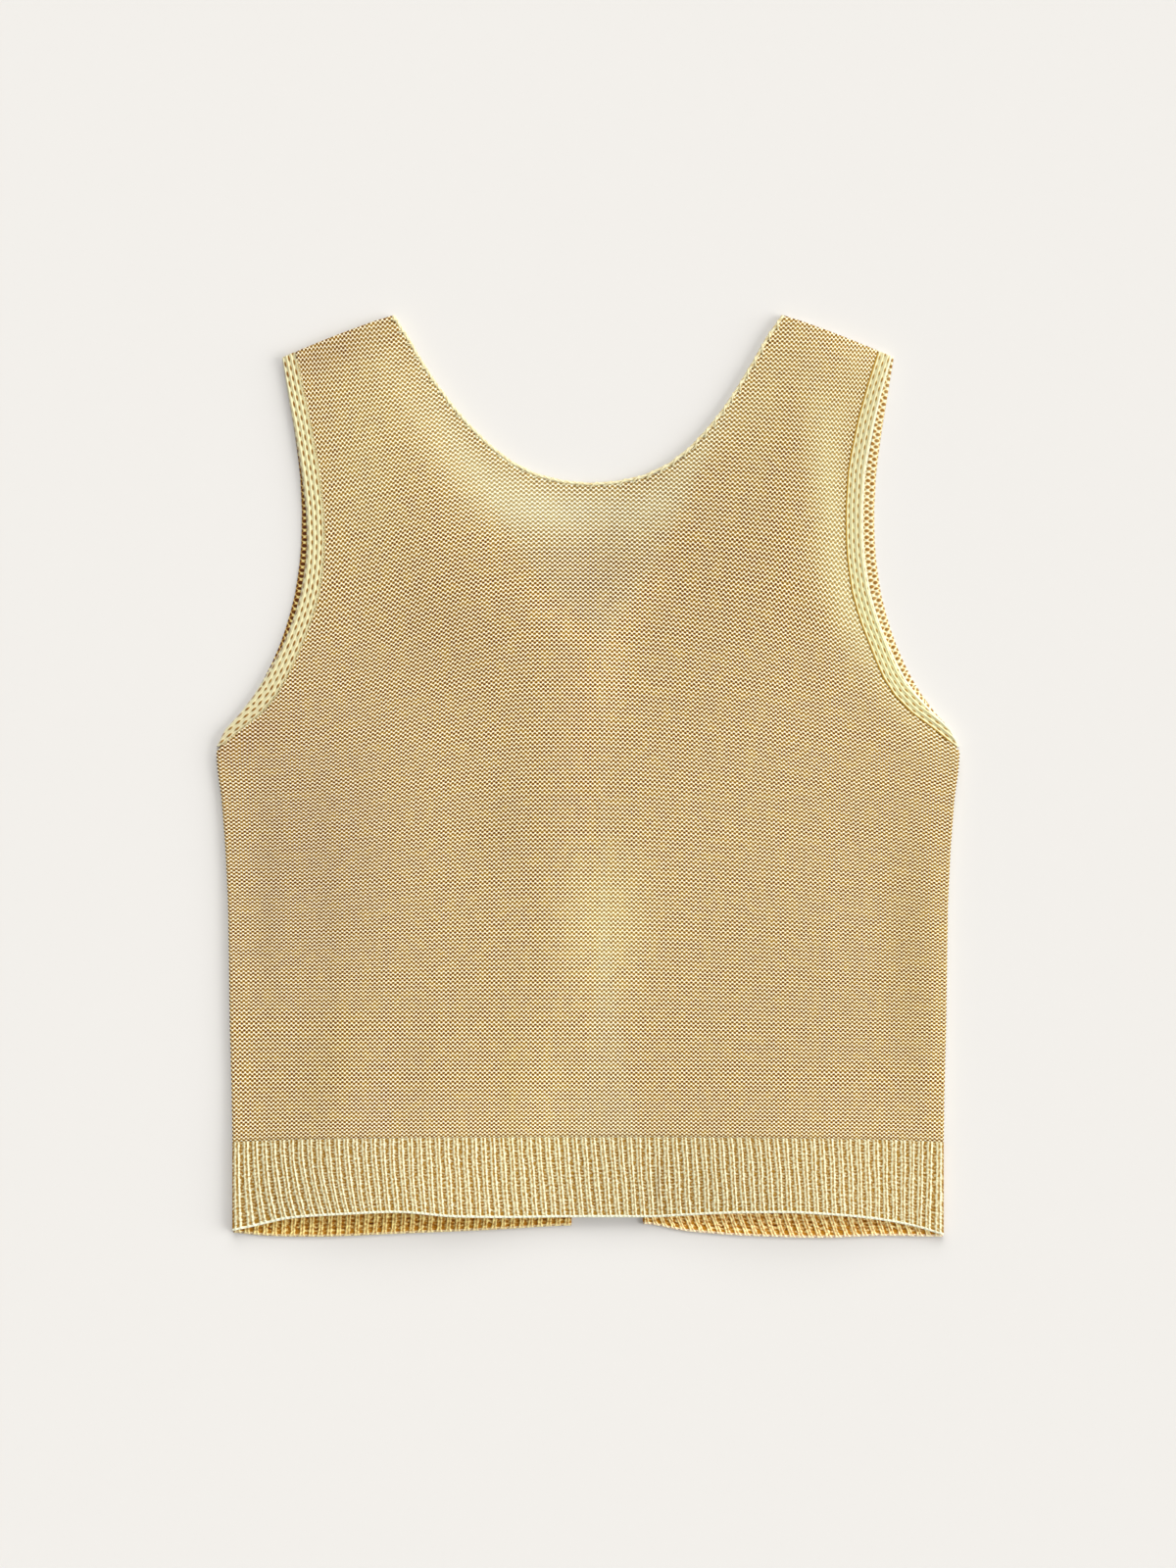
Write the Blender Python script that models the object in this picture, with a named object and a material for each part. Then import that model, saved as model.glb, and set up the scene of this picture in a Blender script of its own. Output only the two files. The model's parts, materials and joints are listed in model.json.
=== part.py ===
# Sweater vest in fine yarn, laid flat on its fronts with the back panel uppermost.
# Frame: +X to the right, +Y from hem to neck, +Z up. The origin lies under the middle of the vest,
# on the surface it rests on. Sizes are in millimetres and vertices are written in metres.
# "Height" is measured along +Y from the lowest point of the hem, "out" from the middle line along X.

import math
from collections import namedtuple

import bmesh
import bpy

METRES = 0.001

# Driving sizes
BODY_LENGTH = 523.0
NECK_POINT_OUT = 109.7
SHOULDER_TIP_OUT = 173.2
SHOULDER_TIP_HEIGHT = 498.5
SHOULDER_BULGE = 0.8
RIB_TOP_MIDDLE = 57.2
RIB_TOP_DROP = 3.0
BAND_START = 278.0

# Cloth
PANEL_WALL = 2.0
RIB_WALL = 2.0
RIB_RAISE = 0.8
BAND_WALL = 1.5
BAND_RAISE = 0.5
BAND_WALES = 3
BACK_BAND_WALL = 2.0
EDGING_WIDTH = 1.7
EDGING_WALL = 2.4
SEAM_GAP = 0.3

# Rests: where the back lies over the fronts, over their ribs, and on the floor inside the V
REST_ON_PANEL = PANEL_WALL + SEAM_GAP
REST_ON_RIB = RIB_WALL + RIB_RAISE + SEAM_GAP
REST_ON_FLOOR = 0.4
RIB_REST_FADE = 34.0
SAG_START = 16.0
SAG_RUN = 30.0

# How far folds stay off the closed edges, and how far up the lift of the hem reaches
EDGE_FADE = 46.0
HEM_LIFT_REACH = 120.0

# Ribs across each hem piece
RIBS_BACK = 78
RIBS_FRONT_LEFT = 37
RIBS_FRONT_RIGHT = 33
STEPS_PER_RIB = 3

# Column and row counts of the panels
STRAP_STEPS = 6
NECK_STEPS = 20
FRONT_STEPS = 12
BACK_RIB_ROWS = 3
FRONT_RIB_ROWS = 2


def table(columns, *rows):
    row = namedtuple("Row", columns)
    return [row(*values) for values in rows]


# Half width of the vest, how far the back's armhole edge stands in from the front's on each side,
# and the width of the armhole band measured along X
SIDES = table(
    "height half_width inset_left inset_right band",
    (0.0, 201.0, 0.0, 0.0, 0.0),
    (55.0, 201.2, 0.0, 0.0, 0.0),
    (124.0, 202.8, 0.0, 0.0, 0.0),
    (190.0, 203.8, 0.0, 0.0, 0.0),
    (246.0, 207.2, 0.0, 0.0, 0.0),
    (275.0, 210.4, 0.0, 0.0, 0.0),
    (281.0, 210.0, 0.0, 0.0, 3.6),
    (287.0, 206.4, 0.0, 0.1, 8.0),
    (293.0, 200.4, 0.0, 0.5, 10.4),
    (302.0, 193.0, 0.0, 2.2, 12.6),
    (313.0, 185.6, 0.2, 4.0, 12.0),
    (335.0, 175.0, 2.0, 4.6, 10.2),
    (357.0, 167.8, 3.2, 5.8, 10.0),
    (379.0, 163.6, 3.8, 6.4, 9.6),
    (402.0, 162.0, 3.1, 6.4, 9.4),
    (424.0, 162.5, 1.7, 6.4, 9.4),
    (446.0, 164.8, 0.4, 5.8, 9.6),
    (468.0, 168.1, 0.0, 4.2, 9.4),
    (490.0, 171.9, 0.0, 3.2, 7.8),
    (499.0, 173.3, 0.0, 1.2, 7.2),
)

# Back neckline, which stands a little higher on its left than on its right
NECKLINE = table(
    "x height",
    (-NECK_POINT_OUT, BODY_LENGTH),
    (-102.2, 511.6),
    (-88.9, 489.3),
    (-72.2, 467.1),
    (-55.6, 449.9),
    (-38.9, 437.7),
    (-20.0, 430.4),
    (0.0, 427.9),
    (20.0, 429.4),
    (38.9, 435.2),
    (55.6, 446.6),
    (75.0, 468.4),
    (91.7, 494.4),
    (102.0, 512.4),
    (NECK_POINT_OUT, BODY_LENGTH),
)

# Inner edges of the two fronts: a V at the neck, edge to edge below it, parted again at the hem
FRONT_EDGES = table(
    "height left right",
    (0.0, -9.4, 31.1),
    (58.0, -7.0, 28.0),
    (130.0, 2.6, 16.6),
    (212.0, 8.2, 9.4),
    (330.0, 7.8, 9.0),
    (346.0, 2.6, 14.6),
    (368.0, -23.0, 31.0),
    (418.0, -55.6, 55.6),
    (460.0, -84.0, 76.0),
    (BODY_LENGTH, -NECK_POINT_OUT, NECK_POINT_OUT),
)

# Lower edge of the back's rib, and how high it arches off the fronts' rib
BACK_HEM = table(
    "x height lift",
    (-201.0, 4.2, 0.0),
    (-189.0, 6.8, 1.4),
    (-167.0, 11.8, 5.6),
    (-140.0, 14.0, 9.4),
    (-108.0, 15.4, 11.0),
    (-73.0, 12.6, 8.8),
    (-40.0, 12.0, 4.8),
    (-10.0, 12.2, 2.8),
    (33.0, 12.2, 3.0),
    (56.0, 13.4, 5.2),
    (80.0, 14.8, 8.8),
    (110.0, 15.3, 11.2),
    (139.0, 13.8, 9.6),
    (161.0, 11.4, 6.2),
    (183.0, 7.2, 2.4),
    (201.0, 1.8, 0.0),
)

FRONT_HEM = table(
    "x height",
    (-201.0, 3.0),
    (-178.0, 1.0),
    (-155.0, 0.6),
    (-111.0, 2.2),
    (-58.0, 4.4),
    (-9.4, 7.0),
    (31.1, 7.8),
    (56.0, 3.8),
    (93.0, 1.0),
    (133.0, 0.0),
    (167.0, 1.1),
    (201.0, 0.6),
)

# Sideways lean of the back's ribs from their top to the hem
RIB_LEAN = table(
    "x shift",
    (-201.0, 0.0),
    (-184.0, 6.0),
    (-162.0, 7.6),
    (-137.0, 5.6),
    (-112.0, 3.4),
    (-70.0, 2.8),
    (-29.0, 4.0),
    (10.0, 4.2),
    (36.0, 2.4),
    (77.0, 3.1),
    (135.0, 2.2),
    (175.0, 0.2),
    (194.0, -1.4),
    (201.0, 0.0),
)

# Soft folds of the back: middle, half length and half width, heading of the long way, and rise
FOLDS = table(
    "x height length width heading rise",
    (-96.0, 400.0, 95.0, 26.0, -58.0, 1.7),
    (-30.0, 330.0, 120.0, 30.0, -64.0, 1.1),
    (108.0, 372.0, 110.0, 28.0, 66.0, 1.5),
    (12.0, 150.0, 120.0, 34.0, 88.0, 1.3),
    (-120.0, 190.0, 100.0, 40.0, 76.0, 1.2),
    (128.0, 170.0, 95.0, 38.0, 100.0, 1.4),
    (-150.0, 268.0, 60.0, 24.0, 24.0, 1.1),
    (150.0, 262.0, 60.0, 24.0, 158.0, 1.2),
    (60.0, 262.0, 80.0, 30.0, 40.0, 0.8),
)

COLOURS = table(
    "name red green blue roughness",
    ("back_knit", 0.672, 0.576, 0.385, 0.86),
    ("front_knit", 0.560, 0.430, 0.215, 0.90),
    ("rib_knit", 0.690, 0.572, 0.345, 0.85),
    ("front_rib_knit", 0.540, 0.395, 0.175, 0.90),
    ("band_knit", 0.746, 0.660, 0.410, 0.82),
    ("edging_yarn", 0.760, 0.690, 0.470, 0.80),
)


def reading(rows, key, name, at):
    """Value of one column at a place, on a smooth line that never overshoots its rows."""
    at = min(max(at, getattr(rows[0], key)), getattr(rows[-1], key))
    place = next((i for i in range(len(rows) - 2) if at < getattr(rows[i + 1], key)), len(rows) - 2)
    starts = [getattr(row, key) for row in rows]
    values = [getattr(row, name) for row in rows]
    slopes = [(values[i + 1] - values[i]) / (starts[i + 1] - starts[i]) for i in range(len(rows) - 1)]

    def tangent(i):
        if i == 0:
            return slopes[0]
        if i == len(rows) - 1:
            return slopes[-1]
        before, after = slopes[i - 1], slopes[i]
        return 0.0 if before * after <= 0.0 else 2.0 * before * after / (before + after)

    run = starts[place + 1] - starts[place]
    t = (at - starts[place]) / run
    rise = values[place + 1] - values[place]
    bend_in = run * tangent(place) - rise
    bend_out = rise - run * tangent(place + 1)
    return values[place] + t * rise + t * (1.0 - t) * ((1.0 - t) * bend_in + t * bend_out)


def smooth_step(value):
    value = min(max(value, 0.0), 1.0)
    return value * value * (3.0 - 2.0 * value)


def between(start, end, share):
    return start + (end - start) * share


# Outline

def front_outer(side, height):
    """X of the vest's outline; side is -1 on the left and 1 on the right."""
    return side * reading(SIDES, "height", "half_width", height)


def back_outer(side, height):
    """X of the back's own outer edge, which stands in from the front's along the armhole."""
    inset = reading(SIDES, "height", "inset_left" if side < 0 else "inset_right", height)
    return front_outer(side, height) - side * inset


def front_inner(side, height):
    """X of a front's own edge at the neck and down the middle."""
    return reading(FRONT_EDGES, "height", "left" if side < 0 else "right", height)


def band_width(height):
    return reading(SIDES, "height", "band", height)


def beside_band(side, outer, height):
    """X of a panel's edge next to its armhole band, or on the outline below the band."""
    width = band_width(height)
    return outer(side, height) - side * (width + SEAM_GAP * min(1.0, width))


def shoulder_height(x):
    share = (SHOULDER_TIP_OUT - abs(x)) / (SHOULDER_TIP_OUT - NECK_POINT_OUT)
    bulge = SHOULDER_BULGE * math.sin(math.pi * min(max(share, 0.0), 1.0))
    return between(SHOULDER_TIP_HEIGHT, BODY_LENGTH, share) + bulge


def rib_top(x):
    return RIB_TOP_MIDDLE - RIB_TOP_DROP * (abs(x) / SIDES[0].half_width) ** 4


def neck_curve(inset, steps):
    """Evenly spaced points from the left neck point to the right one, moved into the cloth."""
    fine = 400
    line = []
    for i in range(fine + 1):
        x = NECK_POINT_OUT * (2.0 * i / fine - 1.0)
        line.append((x, reading(NECKLINE, "x", "height", x)))
    lengths = [0.0]
    for (x0, h0), (x1, h1) in zip(line, line[1:]):
        lengths.append(lengths[-1] + math.hypot(x1 - x0, h1 - h0))
    points = []
    k = 0
    for i in range(steps + 1):
        goal = lengths[-1] * i / steps
        while k < fine - 1 and lengths[k + 1] < goal:
            k += 1
        (x0, h0), (x1, h1) = line[k], line[k + 1]
        step = lengths[k + 1] - lengths[k]
        share = (goal - lengths[k]) / step
        across = ((h1 - h0) / step, -(x1 - x0) / step)
        x = between(x0, x1, share) + inset * across[0]
        points.append((x, between(h0, h1, share) + inset * across[1]))
    return points


# Drape of the back

def inside_v(x, height):
    """How far a place of the back lies inside the open V of the fronts, 0 outside it."""
    return max(0.0, min(x - front_inner(-1, height), front_inner(1, height) - x))


def fold_rise(x, height):
    total = 0.0
    for fold in FOLDS:
        heading = math.radians(fold.heading)
        dx, dy = x - fold.x, height - fold.height
        along = dx * math.cos(heading) + dy * math.sin(heading)
        across = dy * math.cos(heading) - dx * math.sin(heading)
        total += fold.rise * math.exp(-((along / fold.length) ** 2) - (across / fold.width) ** 2)
    return total


def back_under(x, height):
    """Z of the back's lower face."""
    over_rib = 1.0 - smooth_step((height - RIB_TOP_MIDDLE) / RIB_REST_FADE)
    rest = between(REST_ON_PANEL, REST_ON_RIB, over_rib)
    sag = smooth_step((inside_v(x, height) - SAG_START) / SAG_RUN)
    rest = between(rest, REST_ON_FLOOR, sag)
    to_side = min(x - back_outer(-1, height), back_outer(1, height) - x)
    past_strap = max(0.0, NECK_POINT_OUT - abs(x))
    to_shoulder = shoulder_height(max(abs(x), NECK_POINT_OUT)) - height + past_strap
    fade = smooth_step(to_side / EDGE_FADE) * smooth_step(to_shoulder / EDGE_FADE)
    lift = reading(BACK_HEM, "x", "lift", x) * (1.0 - smooth_step(height / HEM_LIFT_REACH))
    return rest + fade * fold_rise(x, height) + lift


# Building

def wall(name, columns, rows, lower, upper):
    """Closed wall of cloth: lower(i, j) and upper(i, j) place its two faces, in millimetres."""
    mesh = bmesh.new()
    bmesh.ops.create_grid(mesh, x_segments=columns, y_segments=rows, size=0.5)
    spot = {}
    for vert in mesh.verts:
        spot[vert] = (round((vert.co.x + 0.5) * columns), round((vert.co.y + 0.5) * rows))
    made = bmesh.ops.extrude_face_region(mesh, geom=mesh.faces[:], use_keep_orig=True)
    raised = [item for item in made["geom"] if isinstance(item, bmesh.types.BMVert)]
    for vert in raised:
        i = round((vert.co.x + 0.5) * columns)
        j = round((vert.co.y + 0.5) * rows)
        vert.co = on_frame(upper(i, j))
    for vert, (i, j) in spot.items():
        vert.co = on_frame(lower(i, j))
    bmesh.ops.recalc_face_normals(mesh, faces=mesh.faces[:])
    data = bpy.data.meshes.new(name)
    mesh.to_mesh(data)
    mesh.free()
    return bpy.data.objects.new(name, data)


def on_frame(point):
    x, height, z = point
    return (x * METRES, (height - BODY_LENGTH / 2.0) * METRES, z * METRES)


def panel_rows():
    """Heights of a panel's rows at its outer edge, closer together at the underarm."""
    below = [86.0, 120.0, 155.0, 190.0, 222.0, 250.0, 266.0, 275.0, 281.0, 287.0]
    above = [293.0, 302.0, 313.0, 324.0, 335.0, 350.0, 368.0, 390.0, 412.0, 436.0, 460.0, 481.0]
    return below + above


def shares_up(start, end):
    return [0.0] + [(height - start) / (end - start) for height in panel_rows()] + [1.0]


def tip_of(edge):
    """Where a panel's outer edge meets the shoulder line."""
    height = SHOULDER_TIP_HEIGHT
    for _ in range(8):
        height = shoulder_height(edge(height))
    return edge(height), height


def back_panel():
    left_tip = tip_of(lambda height: beside_band(-1, back_outer, height))
    right_tip = tip_of(lambda height: beside_band(1, back_outer, height))
    neck = neck_curve(EDGING_WIDTH + SEAM_GAP, NECK_STEPS)
    top = []
    for i in range(STRAP_STEPS):
        x = between(left_tip[0], neck[0][0], i / STRAP_STEPS)
        top.append((x, min(shoulder_height(x), BODY_LENGTH)))
    top += neck
    for i in range(1, STRAP_STEPS + 1):
        x = between(neck[-1][0], right_tip[0], i / STRAP_STEPS)
        top.append((x, min(shoulder_height(x), BODY_LENGTH)))
    shares = shares_up(RIB_TOP_MIDDLE - RIB_TOP_DROP, left_tip[1])

    def across(share, height):
        left, right = beside_band(-1, back_outer, height), beside_band(1, back_outer, height)
        return between(left, right, share)

    columns = []
    for x, height in top:
        left, right = across(0.0, height), across(1.0, height)
        columns.append(((x - left) / (right - left), height))

    def place(i, j):
        share, end = columns[i]
        start = rib_top(across(share, RIB_TOP_MIDDLE)) + SEAM_GAP / 2.0
        height = between(start, end, shares[j])
        return across(share, height), height

    def lower(i, j):
        x, height = place(i, j)
        return x, height, back_under(x, height)

    def upper(i, j):
        x, height = place(i, j)
        return x, height, back_under(x, height) + PANEL_WALL

    return wall("back_panel", len(columns) - 1, len(shares) - 1, lower, upper)


def front_panel(side):
    name = "front_panel_left" if side < 0 else "front_panel_right"
    tip = tip_of(lambda height: beside_band(side, front_outer, height))
    shares = shares_up(RIB_TOP_MIDDLE - RIB_TOP_DROP, tip[1])

    def across(share, height):
        return between(beside_band(side, front_outer, height), front_inner(side, height), share)

    def top_of(share):
        height = tip[1]
        for _ in range(8):
            height = min(shoulder_height(across(share, height)), BODY_LENGTH)
        return height

    tops = [top_of(i / FRONT_STEPS) for i in range(FRONT_STEPS + 1)]

    def place(i, j):
        share = i / FRONT_STEPS
        start = rib_top(across(share, RIB_TOP_MIDDLE)) + SEAM_GAP / 2.0
        height = between(start, tops[i], shares[j])
        return across(share, height), height

    return wall(
        name, FRONT_STEPS, len(shares) - 1,
        lambda i, j: (*place(i, j), 0.0),
        lambda i, j: (*place(i, j), PANEL_WALL),
    )


def armhole_band(side, layer):
    """One half of an armhole band, with its wales raised along it."""
    name = f"armhole_band_{layer}_" + ("left" if side < 0 else "right")
    outer = back_outer if layer == "back" else front_outer
    columns = 2 * BAND_WALES
    end = tip_of(lambda height: beside_band(side, outer, height))[1]
    rows = [BAND_START] + [height for height in panel_rows() if height > BAND_START] + [end]
    shares = [(height - BAND_START) / (end - BAND_START) for height in rows]

    def place(i, j):
        share = i / columns
        x = outer(side, end) - side * share * band_width(end)
        height = between(BAND_START, between(shoulder_height(x), end, share), shares[j])
        return outer(side, height) - side * share * band_width(height), height

    def lower(i, j):
        x, height = place(i, j)
        return x, height, back_under(x, height) if layer == "back" else 0.0

    def upper(i, j):
        x, height, z = lower(i, j)
        raised = BAND_RAISE * (i % 2)
        return x, height, z + raised + (BACK_BAND_WALL if layer == "back" else BAND_WALL)

    return wall(name, columns, len(shares) - 1, lower, upper)


def rib_profile(i):
    return RIB_RAISE if i % STEPS_PER_RIB == STEPS_PER_RIB - 1 else 0.0


def back_hem_rib():
    columns = RIBS_BACK * STEPS_PER_RIB

    def place(i, j):
        share = i / columns
        down = j / BACK_RIB_ROWS
        at_top = between(back_outer(-1, RIB_TOP_MIDDLE), back_outer(1, RIB_TOP_MIDDLE), share)
        x = at_top + down * reading(RIB_LEAN, "x", "shift", at_top)
        top = rib_top(at_top) - SEAM_GAP / 2.0
        return x, between(top, reading(BACK_HEM, "x", "height", x), down)

    def lower(i, j):
        x, height = place(i, j)
        return x, height, back_under(x, height)

    def upper(i, j):
        x, height, z = lower(i, j)
        return x, height, z + RIB_WALL + rib_profile(i)

    return wall("back_hem_rib", columns, BACK_RIB_ROWS, lower, upper)


def front_hem_rib(side):
    name = "front_hem_rib_left" if side < 0 else "front_hem_rib_right"
    columns = STEPS_PER_RIB * (RIBS_FRONT_LEFT if side < 0 else RIBS_FRONT_RIGHT)

    def across(share, height):
        return between(front_outer(side, height), front_inner(side, height), share)

    def place(i, j):
        down = j / FRONT_RIB_ROWS
        at_top, at_hem = across(i / columns, RIB_TOP_MIDDLE), across(i / columns, 0.0)
        top = rib_top(at_top) - SEAM_GAP / 2.0
        hem = reading(FRONT_HEM, "x", "height", at_hem)
        return between(at_top, at_hem, down), between(top, hem, down)

    def upper(i, j):
        return (*place(i, j), RIB_WALL + rib_profile(i))

    return wall(name, columns, FRONT_RIB_ROWS, lambda i, j: (*place(i, j), 0.0), upper)


def neck_edging():
    edges = [neck_curve(0.0, NECK_STEPS), neck_curve(EDGING_WIDTH, NECK_STEPS)]

    def lower(i, j):
        x, height = edges[j][i]
        return x, height, back_under(x, height)

    def upper(i, j):
        x, height, z = lower(i, j)
        return x, height, z + EDGING_WALL

    return wall("neck_edging", NECK_STEPS, 1, lower, upper)


def material(name):
    row = next(row for row in COLOURS if row.name == name)
    made = bpy.data.materials.new(name)
    made.use_nodes = True
    shader = made.node_tree.nodes["Principled BSDF"]
    shader.inputs["Base Color"].default_value = (row.red, row.green, row.blue, 1.0)
    shader.inputs["Roughness"].default_value = row.roughness
    shader.inputs["Metallic"].default_value = 0.0
    made.diffuse_color = (row.red, row.green, row.blue, 1.0)
    return made


def main():
    for item in list(bpy.data.objects):
        bpy.data.objects.remove(item, do_unlink=True)
    vest = bpy.data.collections.new("sweater_vest")
    bpy.context.scene.collection.children.link(vest)
    pieces = [
        (back_panel(), "back_knit"),
        (front_panel(-1), "front_knit"),
        (front_panel(1), "front_knit"),
        (back_hem_rib(), "rib_knit"),
        (front_hem_rib(-1), "front_rib_knit"),
        (front_hem_rib(1), "front_rib_knit"),
        (neck_edging(), "edging_yarn"),
    ]
    for side in (-1, 1):
        for layer in ("back", "front"):
            pieces.append((armhole_band(side, layer), "band_knit"))
    finish = {row.name: material(row.name) for row in COLOURS}
    for piece, colour in pieces:
        piece.data.materials.append(finish[colour])
        vest.objects.link(piece)


main()
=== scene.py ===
# Looks of a pale yellow knitted vest that lies flat with its back uppermost.
# The pieces are worked out in millimetres on the cloth's own plan: x to the right of the middle,
# h up from the lowest point of the hem, z up from the floor.
import json
import math

import bmesh
import bpy
import numpy as np
from mathutils import Vector
from mathutils.bvhtree import BVHTree
from mathutils.geometry import delaunay_2d_cdt
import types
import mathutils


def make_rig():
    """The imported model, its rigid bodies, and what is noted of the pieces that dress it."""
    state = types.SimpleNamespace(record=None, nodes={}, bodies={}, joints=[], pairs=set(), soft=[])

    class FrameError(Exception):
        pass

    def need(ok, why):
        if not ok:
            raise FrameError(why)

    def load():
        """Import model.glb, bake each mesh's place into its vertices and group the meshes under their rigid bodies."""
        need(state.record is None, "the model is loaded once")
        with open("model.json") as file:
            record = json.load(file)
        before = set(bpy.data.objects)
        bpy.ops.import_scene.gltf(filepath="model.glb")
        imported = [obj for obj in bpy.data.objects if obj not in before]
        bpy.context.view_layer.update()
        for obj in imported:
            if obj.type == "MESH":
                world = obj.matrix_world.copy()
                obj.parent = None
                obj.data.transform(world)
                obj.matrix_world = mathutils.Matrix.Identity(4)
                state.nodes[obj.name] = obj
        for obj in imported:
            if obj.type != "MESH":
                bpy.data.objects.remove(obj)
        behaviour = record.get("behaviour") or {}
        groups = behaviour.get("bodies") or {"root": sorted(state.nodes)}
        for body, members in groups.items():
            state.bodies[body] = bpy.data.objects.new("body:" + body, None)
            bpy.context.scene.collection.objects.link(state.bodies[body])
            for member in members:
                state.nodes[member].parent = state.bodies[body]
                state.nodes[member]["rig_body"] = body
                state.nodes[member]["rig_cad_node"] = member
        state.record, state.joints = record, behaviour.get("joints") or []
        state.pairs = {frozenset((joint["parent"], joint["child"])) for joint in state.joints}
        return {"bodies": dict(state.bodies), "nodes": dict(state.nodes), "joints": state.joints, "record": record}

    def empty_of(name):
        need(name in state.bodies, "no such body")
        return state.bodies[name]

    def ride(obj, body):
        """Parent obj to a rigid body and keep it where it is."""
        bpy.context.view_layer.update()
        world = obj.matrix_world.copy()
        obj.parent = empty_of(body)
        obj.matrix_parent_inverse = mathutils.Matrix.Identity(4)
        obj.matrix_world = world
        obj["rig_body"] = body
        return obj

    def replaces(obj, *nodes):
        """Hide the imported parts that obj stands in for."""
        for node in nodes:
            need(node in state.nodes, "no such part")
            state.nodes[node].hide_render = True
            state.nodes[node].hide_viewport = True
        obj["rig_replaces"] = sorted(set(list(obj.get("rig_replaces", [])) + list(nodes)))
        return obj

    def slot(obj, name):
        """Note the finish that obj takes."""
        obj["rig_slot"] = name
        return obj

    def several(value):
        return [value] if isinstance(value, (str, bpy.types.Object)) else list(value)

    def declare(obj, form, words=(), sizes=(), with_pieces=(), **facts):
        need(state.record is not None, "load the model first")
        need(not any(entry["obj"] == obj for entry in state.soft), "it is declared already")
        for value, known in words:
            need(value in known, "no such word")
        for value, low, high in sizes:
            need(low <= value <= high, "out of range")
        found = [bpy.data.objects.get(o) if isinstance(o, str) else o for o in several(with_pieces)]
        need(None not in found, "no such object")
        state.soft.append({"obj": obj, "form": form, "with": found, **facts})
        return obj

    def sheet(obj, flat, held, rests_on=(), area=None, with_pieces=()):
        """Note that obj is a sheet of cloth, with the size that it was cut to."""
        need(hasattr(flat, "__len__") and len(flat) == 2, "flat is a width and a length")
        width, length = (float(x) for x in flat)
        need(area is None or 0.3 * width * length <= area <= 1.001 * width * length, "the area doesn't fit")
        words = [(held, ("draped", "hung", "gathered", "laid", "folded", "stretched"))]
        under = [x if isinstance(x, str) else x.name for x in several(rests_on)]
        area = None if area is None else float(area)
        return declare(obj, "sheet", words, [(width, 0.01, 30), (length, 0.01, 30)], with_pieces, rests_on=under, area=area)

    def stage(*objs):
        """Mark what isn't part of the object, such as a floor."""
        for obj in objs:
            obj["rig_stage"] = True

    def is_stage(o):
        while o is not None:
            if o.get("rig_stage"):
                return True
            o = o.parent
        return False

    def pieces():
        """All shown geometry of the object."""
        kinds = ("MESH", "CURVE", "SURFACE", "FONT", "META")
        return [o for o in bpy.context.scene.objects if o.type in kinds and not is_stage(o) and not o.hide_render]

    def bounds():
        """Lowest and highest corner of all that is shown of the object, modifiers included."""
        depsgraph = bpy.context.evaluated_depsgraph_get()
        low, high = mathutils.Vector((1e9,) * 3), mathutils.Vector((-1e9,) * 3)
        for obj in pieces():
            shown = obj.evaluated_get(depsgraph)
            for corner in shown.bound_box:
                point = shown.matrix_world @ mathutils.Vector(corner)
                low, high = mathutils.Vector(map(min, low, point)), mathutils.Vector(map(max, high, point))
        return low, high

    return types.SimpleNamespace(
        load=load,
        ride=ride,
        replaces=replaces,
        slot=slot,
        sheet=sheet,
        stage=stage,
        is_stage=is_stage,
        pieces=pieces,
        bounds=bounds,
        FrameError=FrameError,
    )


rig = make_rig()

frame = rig.load()
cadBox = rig.bounds()
mm = 0.001
halfLength = (cadBox[1].y - cadBox[0].y) / 2 / mm
halfWidth = (cadBox[1].x - cadBox[0].x) / 2 / mm
backNodes = [name for name in frame["nodes"] if "front" not in name]


# Reading the solids

def cadSolid(*names):
    solid = bmesh.new()
    for name in names:
        solid.from_mesh(frame["nodes"][name].data)
    bmesh.ops.remove_doubles(solid, verts=solid.verts, dist=1e-6)
    bmesh.ops.scale(solid, vec=(1 / mm, 1 / mm, 1 / mm), verts=solid.verts)
    bmesh.ops.translate(solid, vec=(0, halfLength, 0), verts=solid.verts)
    solid.normal_update()
    return solid


def outlineOf(name):
    # corners of the node's upper side, counter-clockwise from above
    solid = cadSolid(name)
    following = {}
    for face in solid.faces:
        for loop in face.loops if face.normal.z > 0.5 else ():
            if loop.link_loop_radial_next.face.normal.z <= 0.5:
                following[loop.vert] = loop.link_loop_next.vert
    start = vert = next(iter(following))
    loop = []
    while True:
        loop.append((vert.co.x, vert.co.y))
        vert = following[vert]
        if vert == start:
            solid.free()
            return np.array(loop)


def spansOf(name, across, places):
    # lowest and highest h of a node at each x, or x at each h where across is 1
    solid = cadSolid(name)
    ends = np.array([[tuple(vert.co)[:2] for vert in edge.verts] for edge in solid.edges])
    solid.free()
    one, two = ends[:, 0, across], ends[:, 1, across]
    spans = []
    for place in places:
        met = (np.minimum(one, two) <= place) & (np.maximum(one, two) >= place) & (abs(two - one) > 1e-6)
        share = ((place - one[met]) / (two[met] - one[met]))[:, None]
        other = (ends[met, 0] * (1 - share) + ends[met, 1] * share)[:, 1 - across]
        spans.append((other.min(), other.max()) if len(other) else (np.nan, np.nan))
    return np.array(spans).T


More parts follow.
